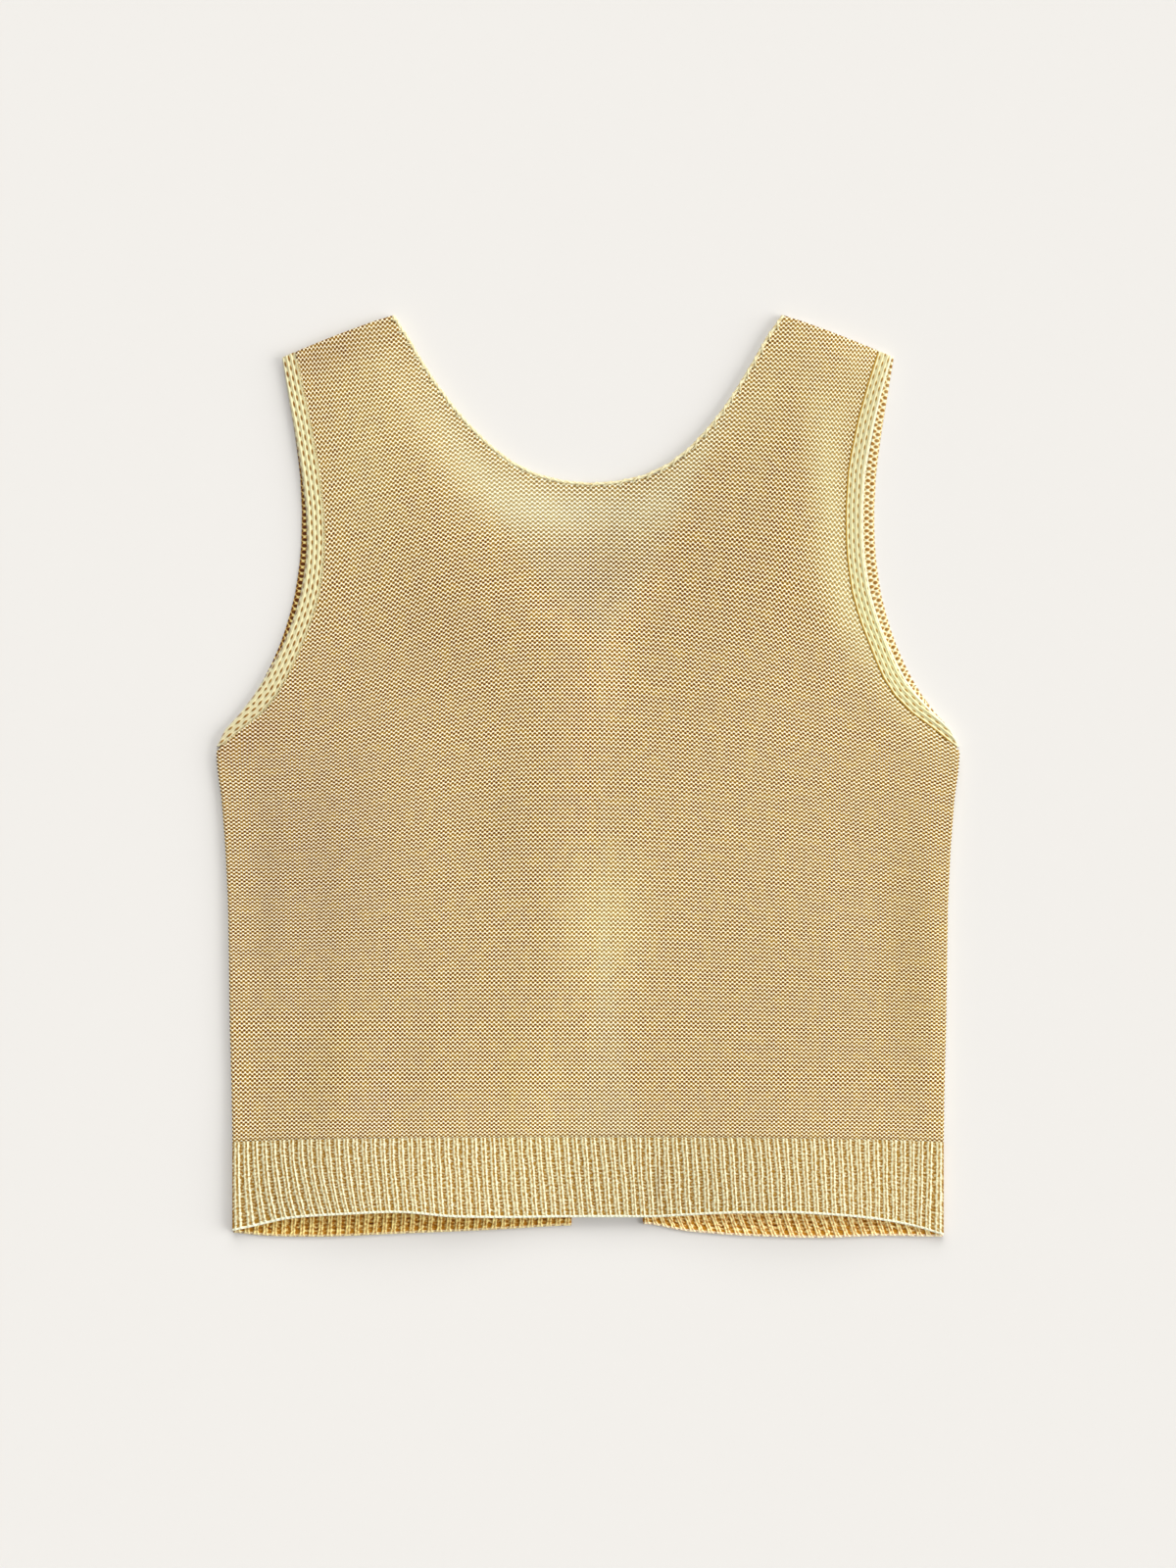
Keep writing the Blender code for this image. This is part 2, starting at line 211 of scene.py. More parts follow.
def smoothLoop(corners, spacing, sharp=32):
    # a smooth closed line through the corners, which stays sharp where it turns more than that
    run = np.roll(corners, -1, 0) - corners
    length = np.hypot(*run.T)
    heading = run / length[:, None]
    before, beforeLength = np.roll(heading, 1, 0), np.roll(length, 1)
    tangent = heading * beforeLength[:, None] + before * length[:, None]
    tangent /= (length + beforeLength)[:, None]
    turns = np.degrees(np.arccos(np.clip((heading * before).sum(1), -1, 1))) > sharp
    line = []
    for i in range(len(corners)):
        k = (i + 1) % len(corners)
        leave = heading[i] if turns[i] else tangent[i]
        arrive = heading[i] if turns[k] else tangent[k]
        steps = max(1, round(length[i] / spacing))
        for t in np.arange(steps) / steps:
            eased = t * t * (3 - 2 * t)
            bend = leave * t * (1 - t) ** 2 - arrive * t * t * (1 - t)
            line.append(corners[i] * (1 - eased) + corners[k] * eased + bend * length[i])
    return np.array(line)


def isInside(loop, x, h):
    inside = np.zeros(x.shape, bool)
    for (x0, h0), (x1, h1) in zip(loop, np.roll(loop, -1, 0)):
        if h0 != h1:
            crosses = (h0 > h) != (h1 > h)
            inside ^= crosses & (x < x0 + (h - h0) * (x1 - x0) / (h1 - h0))
    return inside


def nearestOn(loop, x, h):
    run = np.roll(loop, -1, 0) - loop
    size = (run ** 2).sum(1)
    best = np.full(len(x), 1e9)
    place = np.stack([x, h], 1)
    found = place.copy()
    for at, step, long in zip(loop, run, size):
        share = np.clip(((place - at) @ step) / max(long, 1e-9), 0, 1)[:, None]
        spot = at + share * step
        away = ((spot - place) ** 2).sum(1)
        closer = away < best
        best[closer], found[closer] = away[closer], spot[closer]
    return found.T


drapeGrid = {
    "cell": 3.0,  # spacing of the field's points
    "border": 12,  # how far the field reaches past the vest
    "fillPasses": 4,  # carry the heights out past the cloth's edge
    "smoothPasses": 8,
    "below": -5,  # where the rays start that look for the cloth
}


class Drape:
    # underside of the back as one smooth field, read from the solids
    def __init__(self, names):
        solid = cadSolid(*names)
        tree = BVHTree.FromBMesh(solid)
        solid.free()
        cell, border = drapeGrid["cell"], drapeGrid["border"]
        self.x = np.arange(-halfWidth - border, halfWidth + border, cell)
        self.h = np.arange(-border, 2 * halfLength + border, cell)
        field = np.full((len(self.h), len(self.x)), np.nan)
        for row, h in enumerate(self.h):
            for column, x in enumerate(self.x):
                hit = tree.ray_cast(Vector((x, h, drapeGrid["below"])), Vector((0, 0, 1)))[0]
                if hit is not None:
                    field[row, column] = hit.z
        known = ~np.isnan(field)
        field[~known] = 0
        for _ in range(drapeGrid["fillPasses"]):
            total, count = self.spread(field * known), self.spread(known * 1.0)
            field = np.where(known, field, total / np.maximum(count, 1e-9))
            known = known | (count > 0)
        weight = known * 1.0
        for _ in range(drapeGrid["smoothPasses"]):
            field = self.spread(field * weight) / np.maximum(self.spread(weight), 1e-9)
        self.field = field

    @staticmethod
    def spread(values):
        for axis in (0, 1):
            values = (np.roll(values, 1, axis) + values + np.roll(values, -1, axis)) / 3
        return values

    def __call__(self, x, h):
        column = np.clip((x - self.x[0]) / drapeGrid["cell"], 0, len(self.x) - 1.001)
        row = np.clip((h - self.h[0]) / drapeGrid["cell"], 0, len(self.h) - 1.001)
        c, r = column.astype(int), row.astype(int)
        s, t = column - c, row - r
        lower = self.field[r, c] * (1 - s) + self.field[r, c + 1] * s
        upper = self.field[r + 1, c] * (1 - s) + self.field[r + 1, c + 1] * s
        return lower * (1 - t) + upper * t


drape = Drape(backNodes)
print("frame read:", len(frame["nodes"]), "nodes")


# Shader maths as Python: a Wire is one socket of a finish's node tree

class Wire:
    def __init__(self, finish, socket):
        self.finish = finish
        self.socket = socket

    def math(self, operation, *others):
        return self.finish.node("ShaderNodeMath", {"operation": operation}, [self, *others])

    def vector(self, operation, other):
        return self.finish.node("ShaderNodeVectorMath", {"operation": operation}, [self, other])

    def within(self, low, high):
        return self.math("MINIMUM", high).math("MAXIMUM", low)

    def __add__(self, other):
        return self.math("ADD", other)

    def __sub__(self, other):
        return self.math("SUBTRACT", other)

    def __rsub__(self, other):
        return self.finish.node("ShaderNodeMath", {"operation": "SUBTRACT"}, [other, self])

    def __mul__(self, other):
        return self.math("MULTIPLY", other)

    def __abs__(self):
        return self.math("ABSOLUTE")

    __radd__ = __add__
    __rmul__ = __mul__


class Finish:
    def __init__(self, name, colour, roughness, sheen=0.0):
        self.material = bpy.data.materials.new(name)
        self.material.use_nodes = True
        self.material.diffuse_color = (*colour, 1)
        self.tree = self.material.node_tree
        self.shader = self.tree.nodes["Principled BSDF"]
        self.shader.inputs["Base Color"].default_value = (*colour, 1)
        self.shader.inputs["Roughness"].default_value = roughness
        self.shader.inputs["Sheen Weight"].default_value = sheen
        self.shader.inputs["Specular IOR Level"].default_value = 0.25

    def node(self, kind, settings=None, values=(), out=0):
        made = self.tree.nodes.new(kind)
        for key, value in (settings or {}).items():
            setattr(made, key, value)
        for key, value in values.items() if isinstance(values, dict) else enumerate(values):
            self.plug(made.inputs[key], value)
        return Wire(self, made.outputs[out])

    def plug(self, socket, value):
        if isinstance(value, Wire):
            self.tree.links.new(value.socket, socket)
        else:
            socket.default_value = value

    def set(self, name, value):
        self.plug(self.shader.inputs[name], value)

    def stitches(self):
        # wale and course of each place, from the piece's own map
        place = self.node("ShaderNodeUVMap", {"uv_map": "stitch"})
        split = self.node("ShaderNodeSeparateXYZ", None, [place])
        return split, Wire(self, split.socket.node.outputs[1]), place

    def field(self, name):
        return self.node("ShaderNodeAttribute", {"attribute_name": name}, out=2)

    def rise(self, value, low, high):
        return self.node("ShaderNodeMapRange", {"interpolation_type": "SMOOTHSTEP"}, [value, low, high])

    def blend(self, share, first, second):
        first = first if isinstance(first, Wire) else (*first, 1)
        second = second if isinstance(second, Wire) else (*second, 1)
        return self.node("ShaderNodeMix", {"data_type": "RGBA"}, {0: share, 6: first, 7: second}, out=2)

    def worn(self, cloth, variation):
        # painted light and shade: the tone field lightens and darkens the cloth for soft folds and the foot of an
        # edge, with tone that differs from place to place; pink and yellow make it redder and yellower
        shade = (self.field("tone") + 1) * variation
        tint = [shade, shade * (1 - self.field("pink")), shade * (1 - self.field("yellow"))]
        return cloth.vector("MULTIPLY", self.node("ShaderNodeCombineXYZ", None, tint))

    def noise(self, place, scale, detail=2.0):
        return self.node("ShaderNodeTexNoise", None, {"Vector": place, "Scale": scale, "Detail": detail})

    def bump(self, height, distance, strength=1.0):
        values = {"Strength": strength, "Distance": distance, "Height": height}
        self.set("Normal", self.node("ShaderNodeBump", None, values))


def near(value, period=1.0):
    # distance from the nearest whole period, 0 to half of it
    return abs((value * (1 / period) + 0.5).math("FRACT") - 0.5) * period


# Meshes

edgeFoot = {"tone": -0.45, "calm": 0.8}  # the foot of a sheet's edge lies in its own shade
bakeLayout = {
    "margin": 3.0,  # round a piece
    "skirt": 1.2,  # how far its edge is laid out past the upper side
    "under": 0.29,  # share of the map's shorter side for the underside
    "upper": 0.3,  # where the upper side starts
}


def gridQuads(rows, columns):
    number = np.arange(rows * columns).reshape(rows, columns)
    corners = [number[1:, :-1], number[1:, 1:], number[:-1, 1:], number[:-1, :-1]]
    return np.stack(corners, -1).reshape(-1, 4)


def rimOf(faces):
    # the border as one ordered loop of vertex numbers
    corners = np.array(faces)
    width = corners.shape[1]
    start = np.concatenate([corners[:, k] for k in range(width)])
    end = np.concatenate([corners[:, (k + 1) % width] for k in range(width)])
    size = corners.max() + 1
    lone = ~np.isin(start * size + end, end * size + start)
    following = dict(zip(start[lone].tolist(), end[lone].tolist()))
    loops = []
    while following:
        at = next(iter(following))
        loop = []
        while at in following:
            loop.append(at)
            at = following.pop(at)
        loops.append(loop)
    return max(loops, key=len)


def bakeMap(points, corners, starts, foot):
    # a flat layout: the upper side large, the underside smaller beside it
    plan = points[:, :2]
    rim = plan[foot]
    run = np.roll(rim, -1, 0) - np.roll(rim, 1, 0)
    turned = np.sum(rim[:, 0] * np.roll(rim[:, 1], -1) - np.roll(rim[:, 0], -1) * rim[:, 1])
    outward = np.stack([run[:, 1], -run[:, 0]], 1) * np.sign(turned)
    outward /= np.maximum(np.hypot(*outward.T), 1e-9)[:, None]
    lowest = np.repeat(np.minimum.reduceat(corners, starts), np.diff([*starts, len(corners)]))
    under = lowest >= foot.start
    place = plan[corners]
    skirt = ~under & (corners >= foot.start)
    place[skirt] += bakeLayout["skirt"] * outward[corners[skirt] - foot.start]
    low, size = plan.min(0) - bakeLayout["margin"], np.ptp(plan, 0) + 2 * bakeLayout["margin"]
    place = (place - low) / size
    shorter = int(np.argmin(size))
    upper = bakeLayout["upper"] + place[:, shorter] * (1 - bakeLayout["upper"])
    place[:, shorter] = np.where(under, place[:, shorter] * bakeLayout["under"], upper)
    return place


def makePiece(name, points, faces, finish, slot, replaces, stitches, fields, foot=None):
    # points in millimetres on the plan; stitches and fields give values for each point
    if foot is not None:
        for title, value in edgeFoot.items():
            fields[title][foot] = value
    mesh = bpy.data.meshes.new(name)
    points = np.asarray(points, float)
    placed = np.stack([points[:, 0], points[:, 1] - halfLength, points[:, 2]], 1) * mm
    mesh.from_pydata(placed.tolist(), [], faces)
    corners = np.empty(len(mesh.loops), np.int32)
    mesh.loops.foreach_get("vertex_index", corners)
    layer = mesh.uv_layers.new(name="stitch")
    layer.uv.foreach_set("vector", np.asarray(stitches, np.float32)[corners].ravel())
    if foot is not None:
        starts = np.empty(len(mesh.polygons), np.int32)
        mesh.polygons.foreach_get("loop_start", starts)
        layer = mesh.uv_layers.new(name="OFBake")
        layer.uv.foreach_set("vector", bakeMap(points, corners, starts, foot).astype(np.float32).ravel())
    for title, values in fields.items():
        layer = mesh.attributes.new(title, "FLOAT", "POINT")
        layer.data.foreach_set("value", np.asarray(values, np.float32))
    mesh.polygons.foreach_set("use_smooth", [True] * len(mesh.polygons))
    mesh.materials.append(finish.material)
    mesh.update()
    piece = bpy.data.objects.new(name, mesh)
    bpy.context.scene.collection.objects.link(piece)
    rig.ride(piece, "root")
    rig.slot(piece, slot)
    if replaces:
        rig.replaces(piece, *replaces)
    return piece


def closeSheet(x, h, top, faces, under, lining):
    # adds the edge and a coarser underside to an upper side, and gives the whole sheet
    rim = np.array(rimOf(faces))
    loop = np.stack([x[rim], h[rim]], 1)
    gridX, gridH = np.meshgrid(np.arange(x.min(), x.max(), lining), np.arange(h.min(), h.max(), lining))
    gridX, gridH = gridX.ravel(), gridH.ravel()
    keep = isInside(loop, gridX, gridH)
    gridX, gridH = gridX[keep], gridH[keep]
    nearX, nearH = nearestOn(loop[::3], gridX, gridH)
    keep = np.hypot(nearX - gridX, nearH - gridH) > lining * 0.6
    flat = np.concatenate([loop, np.stack([gridX[keep], gridH[keep]], 1)])
    count = len(rim)
    edges = [(i, (i + 1) % count) for i in range(count)]
    spots, _, triangles, origin, _, _ = delaunay_2d_cdt([Vector(p) for p in flat], edges, [], 1, 1e-6)
    number = [
        names[0] if names else int(np.hypot(*(flat - spot).T).argmin())  # where the rim crosses itself
        for names, spot in zip(origin, np.array(spots))
    ]
    base = len(x)
    lower = [[base + number[k] for k in reversed(triangle)] for triangle in triangles]
    onward = zip(rim.tolist(), np.roll(rim, -1).tolist())
    skirt = [[a, base + i, base + (i + 1) % count, b] for i, (a, b) in enumerate(onward)]
    x = np.concatenate([x, flat[:, 0]])
    h = np.concatenate([h, flat[:, 1]])
    z = np.concatenate([top, under(flat[:, 0], flat[:, 1])])
    return x, h, z, [*faces, *skirt, *lower], slice(base, base + count)


# The knit's own lattice: how the courses bow and the wales spread, measured on the plan

knit = {
    "wales": 155,  # columns of stitches across the back
    "width": 402.0,
    "course": 2.5,  # height of a row of stitches
    "squeeze": 3.7,  # how much the rows close up above the rib
    "squeezeReach": 17.0,
    "courses": 220,
    "spare": 4,  # wales past each side, which the outline cuts away
    "zigzag": 0.43,  # stagger of neighbouring half wales, in courses
    "hollow": (0.37, 0.33),  # half width and half length of a hollow's gold sides, in stitches
    "pit": (0.27, 0.25),  # and of the dark pit inside it, painted shade in the gap between stitches
    "wall": 2.0,
    "ridge": 0.22,
    "valley": -0.42,
    "spreadAt": [255, 302, 346, 390, 435, 479, 523],  # heights of the next row's values
    "spread": [0, 1.1, 4.2, 7.8, 12.2, 17.8, 22.0],  # how far the wales fan out to the straps
    "spreadSpan": 194.0,
    "sidePower": 6,  # only the outermost wales follow the sides
    "bowAt": [60, 100, 130, 160, 190, 220, 250, 275, 310, 345, 388, 414, 480, 523],
    "bowLeft": [0, 0, 0.4, 4.5, 10.5, 16.3, 22, 26.7, 31, 33.3, 28, 25, 16.7, 12],
    "bowRight": [0, 1.1, 5, 9, 13.5, 17.4, 21.4, 25, 28, 29, 19.5, 14.6, 8, 6],
    "bowSpan": 167,  # how far out a course reaches its full bow
    "levelLeft": 22,  # on the left it stays level this far out
    "bowPower": 1.7,
    "ribTop": 57,
    "ribEase": 40,  # height over which the courses leave the line of the rib's top
    "passes": 12,  # in which a stitch's place settles
    "risePasses": 25,
}
sideAt = np.linspace(58, 274, 20)
sideOut = spansOf("back_panel", 1, sideAt)[1] - knit["width"] / 2
ribSpanX = np.linspace(-200.5, 200.5, 60)
ribTopAt = spansOf("back_hem_rib", 0, ribSpanX)[1]


def ribTop(x):
    return np.interp(x, ribSpanX, ribTopAt)


def bowOf(x, h):
    # how far a course hangs below its middle
    left = np.interp(h, knit["bowAt"], knit["bowLeft"])
    right = np.interp(h, knit["bowAt"], knit["bowRight"])
    shareLeft = np.clip((-x - knit["levelLeft"]) / knit["bowSpan"], 0, 1)
    shareRight = np.clip(x, 0, None) / knit["bowSpan"]
    bow = left * shareLeft ** 2 * (3 - 2 * shareLeft) + right * shareRight ** knit["bowPower"]
    ends = (ribTop(0 * x) - ribTop(x)) * np.exp(-np.clip(h - knit["ribTop"], 0, None) / knit["ribEase"])
    return bow + ends


def fanOf(base, h):
    spread = np.interp(h, knit["spreadAt"], knit["spread"])
    side = np.interp(h, sideAt, sideOut)
    share = base / (knit["width"] / 2)
    turn = np.clip(base / knit["spreadSpan"], -1, 1) * math.pi
    return spread * np.sin(turn) + side * np.sign(share) * abs(share) ** knit["sidePower"]


def stitchPlace(wale, course):
    # where a stitch lies on the plan
    base = (wale / knit["wales"] - 0.5) * knit["width"]
    rise = knit["course"] * course
    level = ribTop(0 * base) + rise - knit["squeeze"] * (1 - np.exp(-rise / knit["squeezeReach"]))
    h = level.copy()
    for _ in range(knit["passes"]):
        x = base + fanOf(base, h)
        h = level - bowOf(x, h)
    return x, h


def stitchAt(x, h):
    # which wale and course lie at a place
    level = h + bowOf(x, h) - ribTop(0 * x)
    rise = level.copy()
    for _ in range(knit["risePasses"]):
        rise = level + knit["squeeze"] * (1 - np.exp(-rise / knit["squeezeReach"]))
    base = x.copy()
    for _ in range(knit["passes"]):
        base = x - fanOf(base, h)
    return (base / knit["width"] + 0.5) * knit["wales"], rise / knit["course"]


def zigzag(wale):
    return -knit["zigzag"] * (1 - 2 * abs(wale % 1 - 0.5))


def stitchRelief(wale, course):
    wave = -np.cos(2 * math.pi * (course - zigzag(wale)))
    middle, half = (knit["ridge"] + knit["valley"]) / 2, (knit["ridge"] - knit["valley"]) / 2
    return middle + half * wave


def panelLattice(loop, step):
    # quads on the stitches, cut off at the panel's outline
    wales = np.arange(-2 * knit["spare"], 2 * (knit["wales"] + knit["spare"]) + 1, step) / 2
    courses = np.arange(0, 2 * knit["courses"], step) / 2
    wale, course = np.meshgrid(wales, courses)
    course = course + zigzag(wale) * (course > 0)
    x, h = stitchPlace(wale, course)
    quads = gridQuads(*x.shape)[:, ::-1]
    x, h = x.ravel(), h.ravel()
    quads = quads[isInside(loop, x[quads].mean(1), h[quads].mean(1))]
    while True:
        # a quad that hangs on by one edge is left out, so that the border has no spikes
        used, count = np.unique(quads, return_counts=True)
        uses = np.zeros(len(x), int)
        uses[used] = count
        spike = (uses[quads] == 1).sum(1) >= 2
        quads = quads[~spike]
        if spike.sum() < 3:
            break
    used, faces = np.unique(quads, return_inverse=True)
    x, h, faces = x[used], h[used], faces.reshape(-1, 4)
    rim = np.array(rimOf(faces))
    x[rim], h[rim] = nearestOn(loop, x[rim], h[rim])
    return x, h, faces.tolist()


hem = {
    "columns": 12,  # points across one rib
    "courses": 26,
    "rowsToACourse": 3,
    "backRibs": 78,
    "leftRibs": 37,
    "rightRibs": 33,
    "wall": 2.0,
    "legs": 0.75,  # height of a knit wale's two legs over the wall
    "groove": 0.3,
    "purl": -0.05,
    "arc": 0.14,
    "arcBend": 1.6,  # how far the arcs of purl yarn sag, in courses
    "legAt": 0.67,  # middle of a leg, as a share of half a rib from the purl column
    "legHalf": 0.17,
    "grooveAt": 0.77,  # start of the groove between the legs
    "grooveHalf": 0.23,
    "purlReach": 0.5,
    "purlHalf": 0.46,  # where a purl column ends
    "archReach": 2.4,  # the purl columns close in an arch over this much of the hem
    "edgeDrop": 0.25,
    "edgeReach": 0.5,
    "lining": 6.0,
    "overlap": 0.3,  # how far the ribs reach up to the body
    "swayAt": [-200, -150, -100, -40, 20, 38, 60, 110, 160, 200],  # x of the next row's values
    "sway": [1.9, 1.8, 1.35, 1.1, 1.0, 1.5, 0.8, 0.75, 0.85, 1.0],  # above 1 a rib bends late
    "waver": 0.16,
    "waves": [(2.3, 5.1, 0.0), (0.71, -7.3, 1.0)],  # its turn in a rib, over the height, and start
    "endFade": 20,  # the outermost ribs keep to the outline within one part in this many
    "underFromHem": 20,  # the underside shows nothing of the hem's edge
    "frontLean": {"left": 1.0, "right": -6.5},  # how far the front's ribs bow to the left
    "frontTint": {"left": [0.25, 0.0, 0.0], "right": [0.56, -0.03, -0.28]},  # painted light that lightens the front ribs against the back hem's shadow on them, the right one more; then redder, yellower
}

# Finishes

yarn = {
    "cream": (1.0, 0.99, 0.79),
    # the hollows: gold on their sides, the yarn's deeper yellow partly painted shade, and a dark pit as painted shade
    # in the gap between stitches; over the open V the gaps show the floor, so they are lighter
    "gold": (0.62, 0.37, 0.03),
    "pit": (0.10, 0.024, 0.003),
    "goldOverFloor": (0.60, 0.39, 0.07),
    "pitOverFloor": (0.13, 0.05, 0.012),
    "ribCream": (0.90, 0.89, 0.60),
    "ribGold": (0.335, 0.172, 0.014),
    "ribPit": (0.14, 0.045, 0.004),
    "castOn": (1.0, 0.985, 0.74),
    "bandCream": (0.74, 0.69, 0.41),
    "bandGold": (0.44, 0.24, 0.025),
    "bandPit": (0.22, 0.08, 0.006),
    # lit cream: the bands' painted outer highlight, and the right front band painted lighter as lit
    "bandLight": (0.80, 0.78, 0.58),
    "rightCream": (0.68, 0.64, 0.39),
    "seamGold": (0.50, 0.28, 0.03),
    # the right front band's gold and pit, lighter as painted light
    "frontBandGold": (0.76, 0.61, 0.28),
    "frontBandPit": (0.29, 0.13, 0.02),
    "edgeCream": (0.80, 0.75, 0.48),
    "frontCream": (0.83, 0.69, 0.28),
    "frontGold": (0.34, 0.135, 0.002),
    "frontPit": (0.085, 0.018, 0.001),
}


def spot(finish, across, along, width, length, edge):
    # 1 in the middle of a small round pit, 0 outside it
    away = (across * (1 / width)).math("POWER", 2) + (along * (1 / length)).math("POWER", 2)
    away = away.math("SQRT")
    return 1 - finish.rise(away, 1 - edge, 1 + edge)


purlLook = {
    "mottle": 0.43,  # scale of the uneven yarn
    "strayScale": 1.1,
    "stray": 0.16,  # how far the hollows stray, in stitches
    "edge": 0.18,  # softness of their edges
    "depth": (0.95, 0.9),  # how dark the painted shade in the pits is, and how much that varies
    "calm": (0.45, 0.8, 0.22),  # where stitches close up: less gold, fainter pits, darker yarn
}


def purlFinish(name, tones=("cream", "gold", "pit"), relief=0.12):
    # reverse side of plain knitting: a network of light yarn round two staggered hollows to a stitch, with the
    # hollows' sides gold, partly painted shade, and their pits dark as painted shade
    light, dark, pit = (yarn[tone] for tone in tones)
    finish = Finish(name, light, 0.82, sheen=0.05)
    wale, course, place = finish.stitches()
    uneven = finish.noise(place, purlLook["mottle"], 3.0)
    stray = (finish.noise(place, purlLook["strayScale"]) - 0.5) * purlLook["stray"]

    def hollows(width, length):
        size = (width, length, purlLook["edge"])
        upper = spot(finish, near(wale), near(course + stray), *size)
        lower = spot(finish, near(wale + 0.5), near(course + knit["zigzag"] + stray), *size)
        return upper.math("MAXIMUM", lower)

    sides, pits = hollows(*knit["hollow"]), hollows(*knit["pit"])
    overFloor = finish.field("overFloor")
    calm = finish.field("calm")
    sideColour = finish.blend(overFloor, dark, yarn["goldOverFloor"])
    pitColour = finish.blend(overFloor, pit, yarn["pitOverFloor"])
    (depth, varied), (lessGold, lessPit, lessLight) = purlLook["depth"], purlLook["calm"]
    cloth = finish.blend(sides * (1 - calm * lessGold), light, sideColour)
    deep = (depth + (uneven - 0.5) * varied) * (1 - calm * lessPit)
    cloth = finish.blend((pits * deep).math("MINIMUM", 1), cloth, pitColour)
    finish.set("Base Color", finish.worn(cloth, (0.97 + uneven * 0.1) * (1 - calm * lessLight)))
    twist = finish.noise(place, 6.0, 2.0)
    finish.bump(sides * -relief + pits * (-0.8 * relief) + twist * (0.3 * relief), mm, 0.9)
    return finish


# Places are shares of half a rib from the purl column
ribLook = {
    "purl": (0.26, 0.46),  # where the purl column fades out
    "legs": (0.26, 0.56),  # where the light legs fade in
    "groove": (0.64, 0.84),  # and where they sink to the groove between them
    "dots": (0.78, 0.94),
    "dotEvery": 1.5,  # courses between dark dots in the groove
    "mottle": (2.4, 1.25),  # of the uneven yarn: stretch down the rib, and scale
    "castOn": (1.0, 1.5),  # how far up from the hem the light edge reaches
    "knots": (1.2, 1.7, 2.6, 3.4),  # the row of darker knots above it: from, to
}


def ribFinish(name, tones, purlWide, grooveDepth, speckle, edgeLight):
    # one by one rib: two light legs to a knit wale, and a gold column of purl arcs between wales; painted shade
    # darkens the groove between the legs, its dots, and the purl column between the arcs
    light, dark, pit = (yarn[tone] for tone in tones)
    finish = Finish(name, light, 0.8, sheen=0.05)
    rib, course, place = finish.stitches()
    uneven = finish.noise(place, 0.6, 3.0)
    wander = (finish.noise(place, 0.8) - 0.5) * 0.12
    fromHem = finish.field("fromHem")
    closing = (1 - fromHem * (1 / hem["archReach"])).math("MAXIMUM", 0)
    closing = 1 - (1 - closing * closing).math("SQRT")
    stretch, scale = ribLook["mottle"]
    mottle = (finish.noise(place.vector("MULTIPLY", (stretch, 1, 1)), scale, 1.0) - 0.5) * speckle
    fromPurl = near(rib + wander) * 2 + closing * hem["purlHalf"] - purlWide
    # painted shade in the groove between the legs
    sunk = finish.rise(fromPurl, ribLook["groove"][0], ribLook["groove"][1] - purlWide) * grooveDepth
    legs = finish.rise(fromPurl, *ribLook["legs"]) * (1 - sunk)
    beads = finish.rise(near(course + fromPurl * 0.5) * 2, 0.0, 0.5)
    arcs = near(course + fromPurl * fromPurl * hem["arcBend"]) * 2
    purl = 1 - finish.rise(fromPurl, *ribLook["purl"])
    lightArcs = purl * finish.rise(arcs, 0.4, 1.0) * (0.1 + uneven * 0.3)
    lightness = legs * (0.76 + beads * 0.16) + lightArcs + mottle
    lightness = lightness + closing * finish.rise(fromPurl, 0.8, 1.0) * 0.4
    cloth = finish.blend(lightness.within(0, 1), dark, light)
    groove = finish.rise(fromPurl, *(at - purlWide for at in ribLook["dots"])) * (1 - closing)
    dots = groove * (1 - finish.rise(near(course, ribLook["dotEvery"]), 0.2, 0.6))
    cloth = finish.blend(dots * (0.5 + (uneven - 0.5) * 1.4), cloth, dark)
    shadePurl = purl * (1 - finish.rise(arcs, 0.1, 0.75)) * (0.4 + (uneven - 0.5) * 1.6 - mottle)
    cloth = finish.blend(shadePurl.within(0, 1), cloth, pit)
    castOn = 1 - finish.rise(fromHem, *ribLook["castOn"])
    cloth = finish.blend(castOn * edgeLight, cloth, yarn["castOn"])
    knots = finish.rise(fromHem, *ribLook["knots"][:2]) * (1 - finish.rise(fromHem, *ribLook["knots"][2:]))
    cloth = finish.blend(knots * (1 - finish.rise(near(rib) * 2, 0.3, 0.5)) * 0.8, cloth, dark)
    finish.set("Base Color", finish.worn(cloth, 0.94 + uneven * 0.12))
    finish.bump(purl * arcs * 0.12 + legs * beads * 0.1 + finish.noise(place, 7.0) * 0.03, mm, 0.9)
    return finish


def bandFinish(name, cream, pitWidth, pitLength, strands, depth):
    # strands that run along the band round rows of long narrow pits, which are painted gold and dark as shade in the
    # gaps
    light, dark, pit = (yarn[tone] for tone in (cream, "bandGold", "bandPit"))
    finish = Finish(name, light, 0.8, sheen=0.1)
    wale, course, place = finish.stitches()
    uneven = finish.noise(place, 0.7, 3.0)
    stray = (finish.noise(place, 0.9) - 0.5) * 0.3
    size = (pitWidth, pitLength, 0.45)
    even = spot(finish, near(wale + 0.5 + stray * 0.3, 2.0), near(course + stray), *size)
    odd = spot(finish, near(wale - 0.5 + stray * 0.3, 2.0), near(course + 0.5 + stray), *size)
    pits = even.math("MAXIMUM", odd)
    lines = 1 - finish.rise(near(wale * 2 + stray * 0.4), 0.05, 0.32)
    cloth = finish.blend(lines * strands * (0.4 + uneven), light, dark)
    # painted shade in the pits
    cloth = finish.blend((pits * (0.5 + uneven)).math("MINIMUM", 1), cloth, dark)
    cloth = finish.blend((pits * (depth + (uneven - 0.5) * 1.5)).within(0, 1), cloth, pit)
    # painted highlight along the band's outer edge
    cloth = finish.blend(finish.field("outerLight"), cloth, yarn["bandLight"])
    finish.set("Base Color", finish.worn(cloth, 0.93 + uneven * 0.14))
    finish.bump(lines * -0.12 + pits * -0.25 + finish.noise(place, 7.0) * 0.04, mm, 0.9)
    return finish


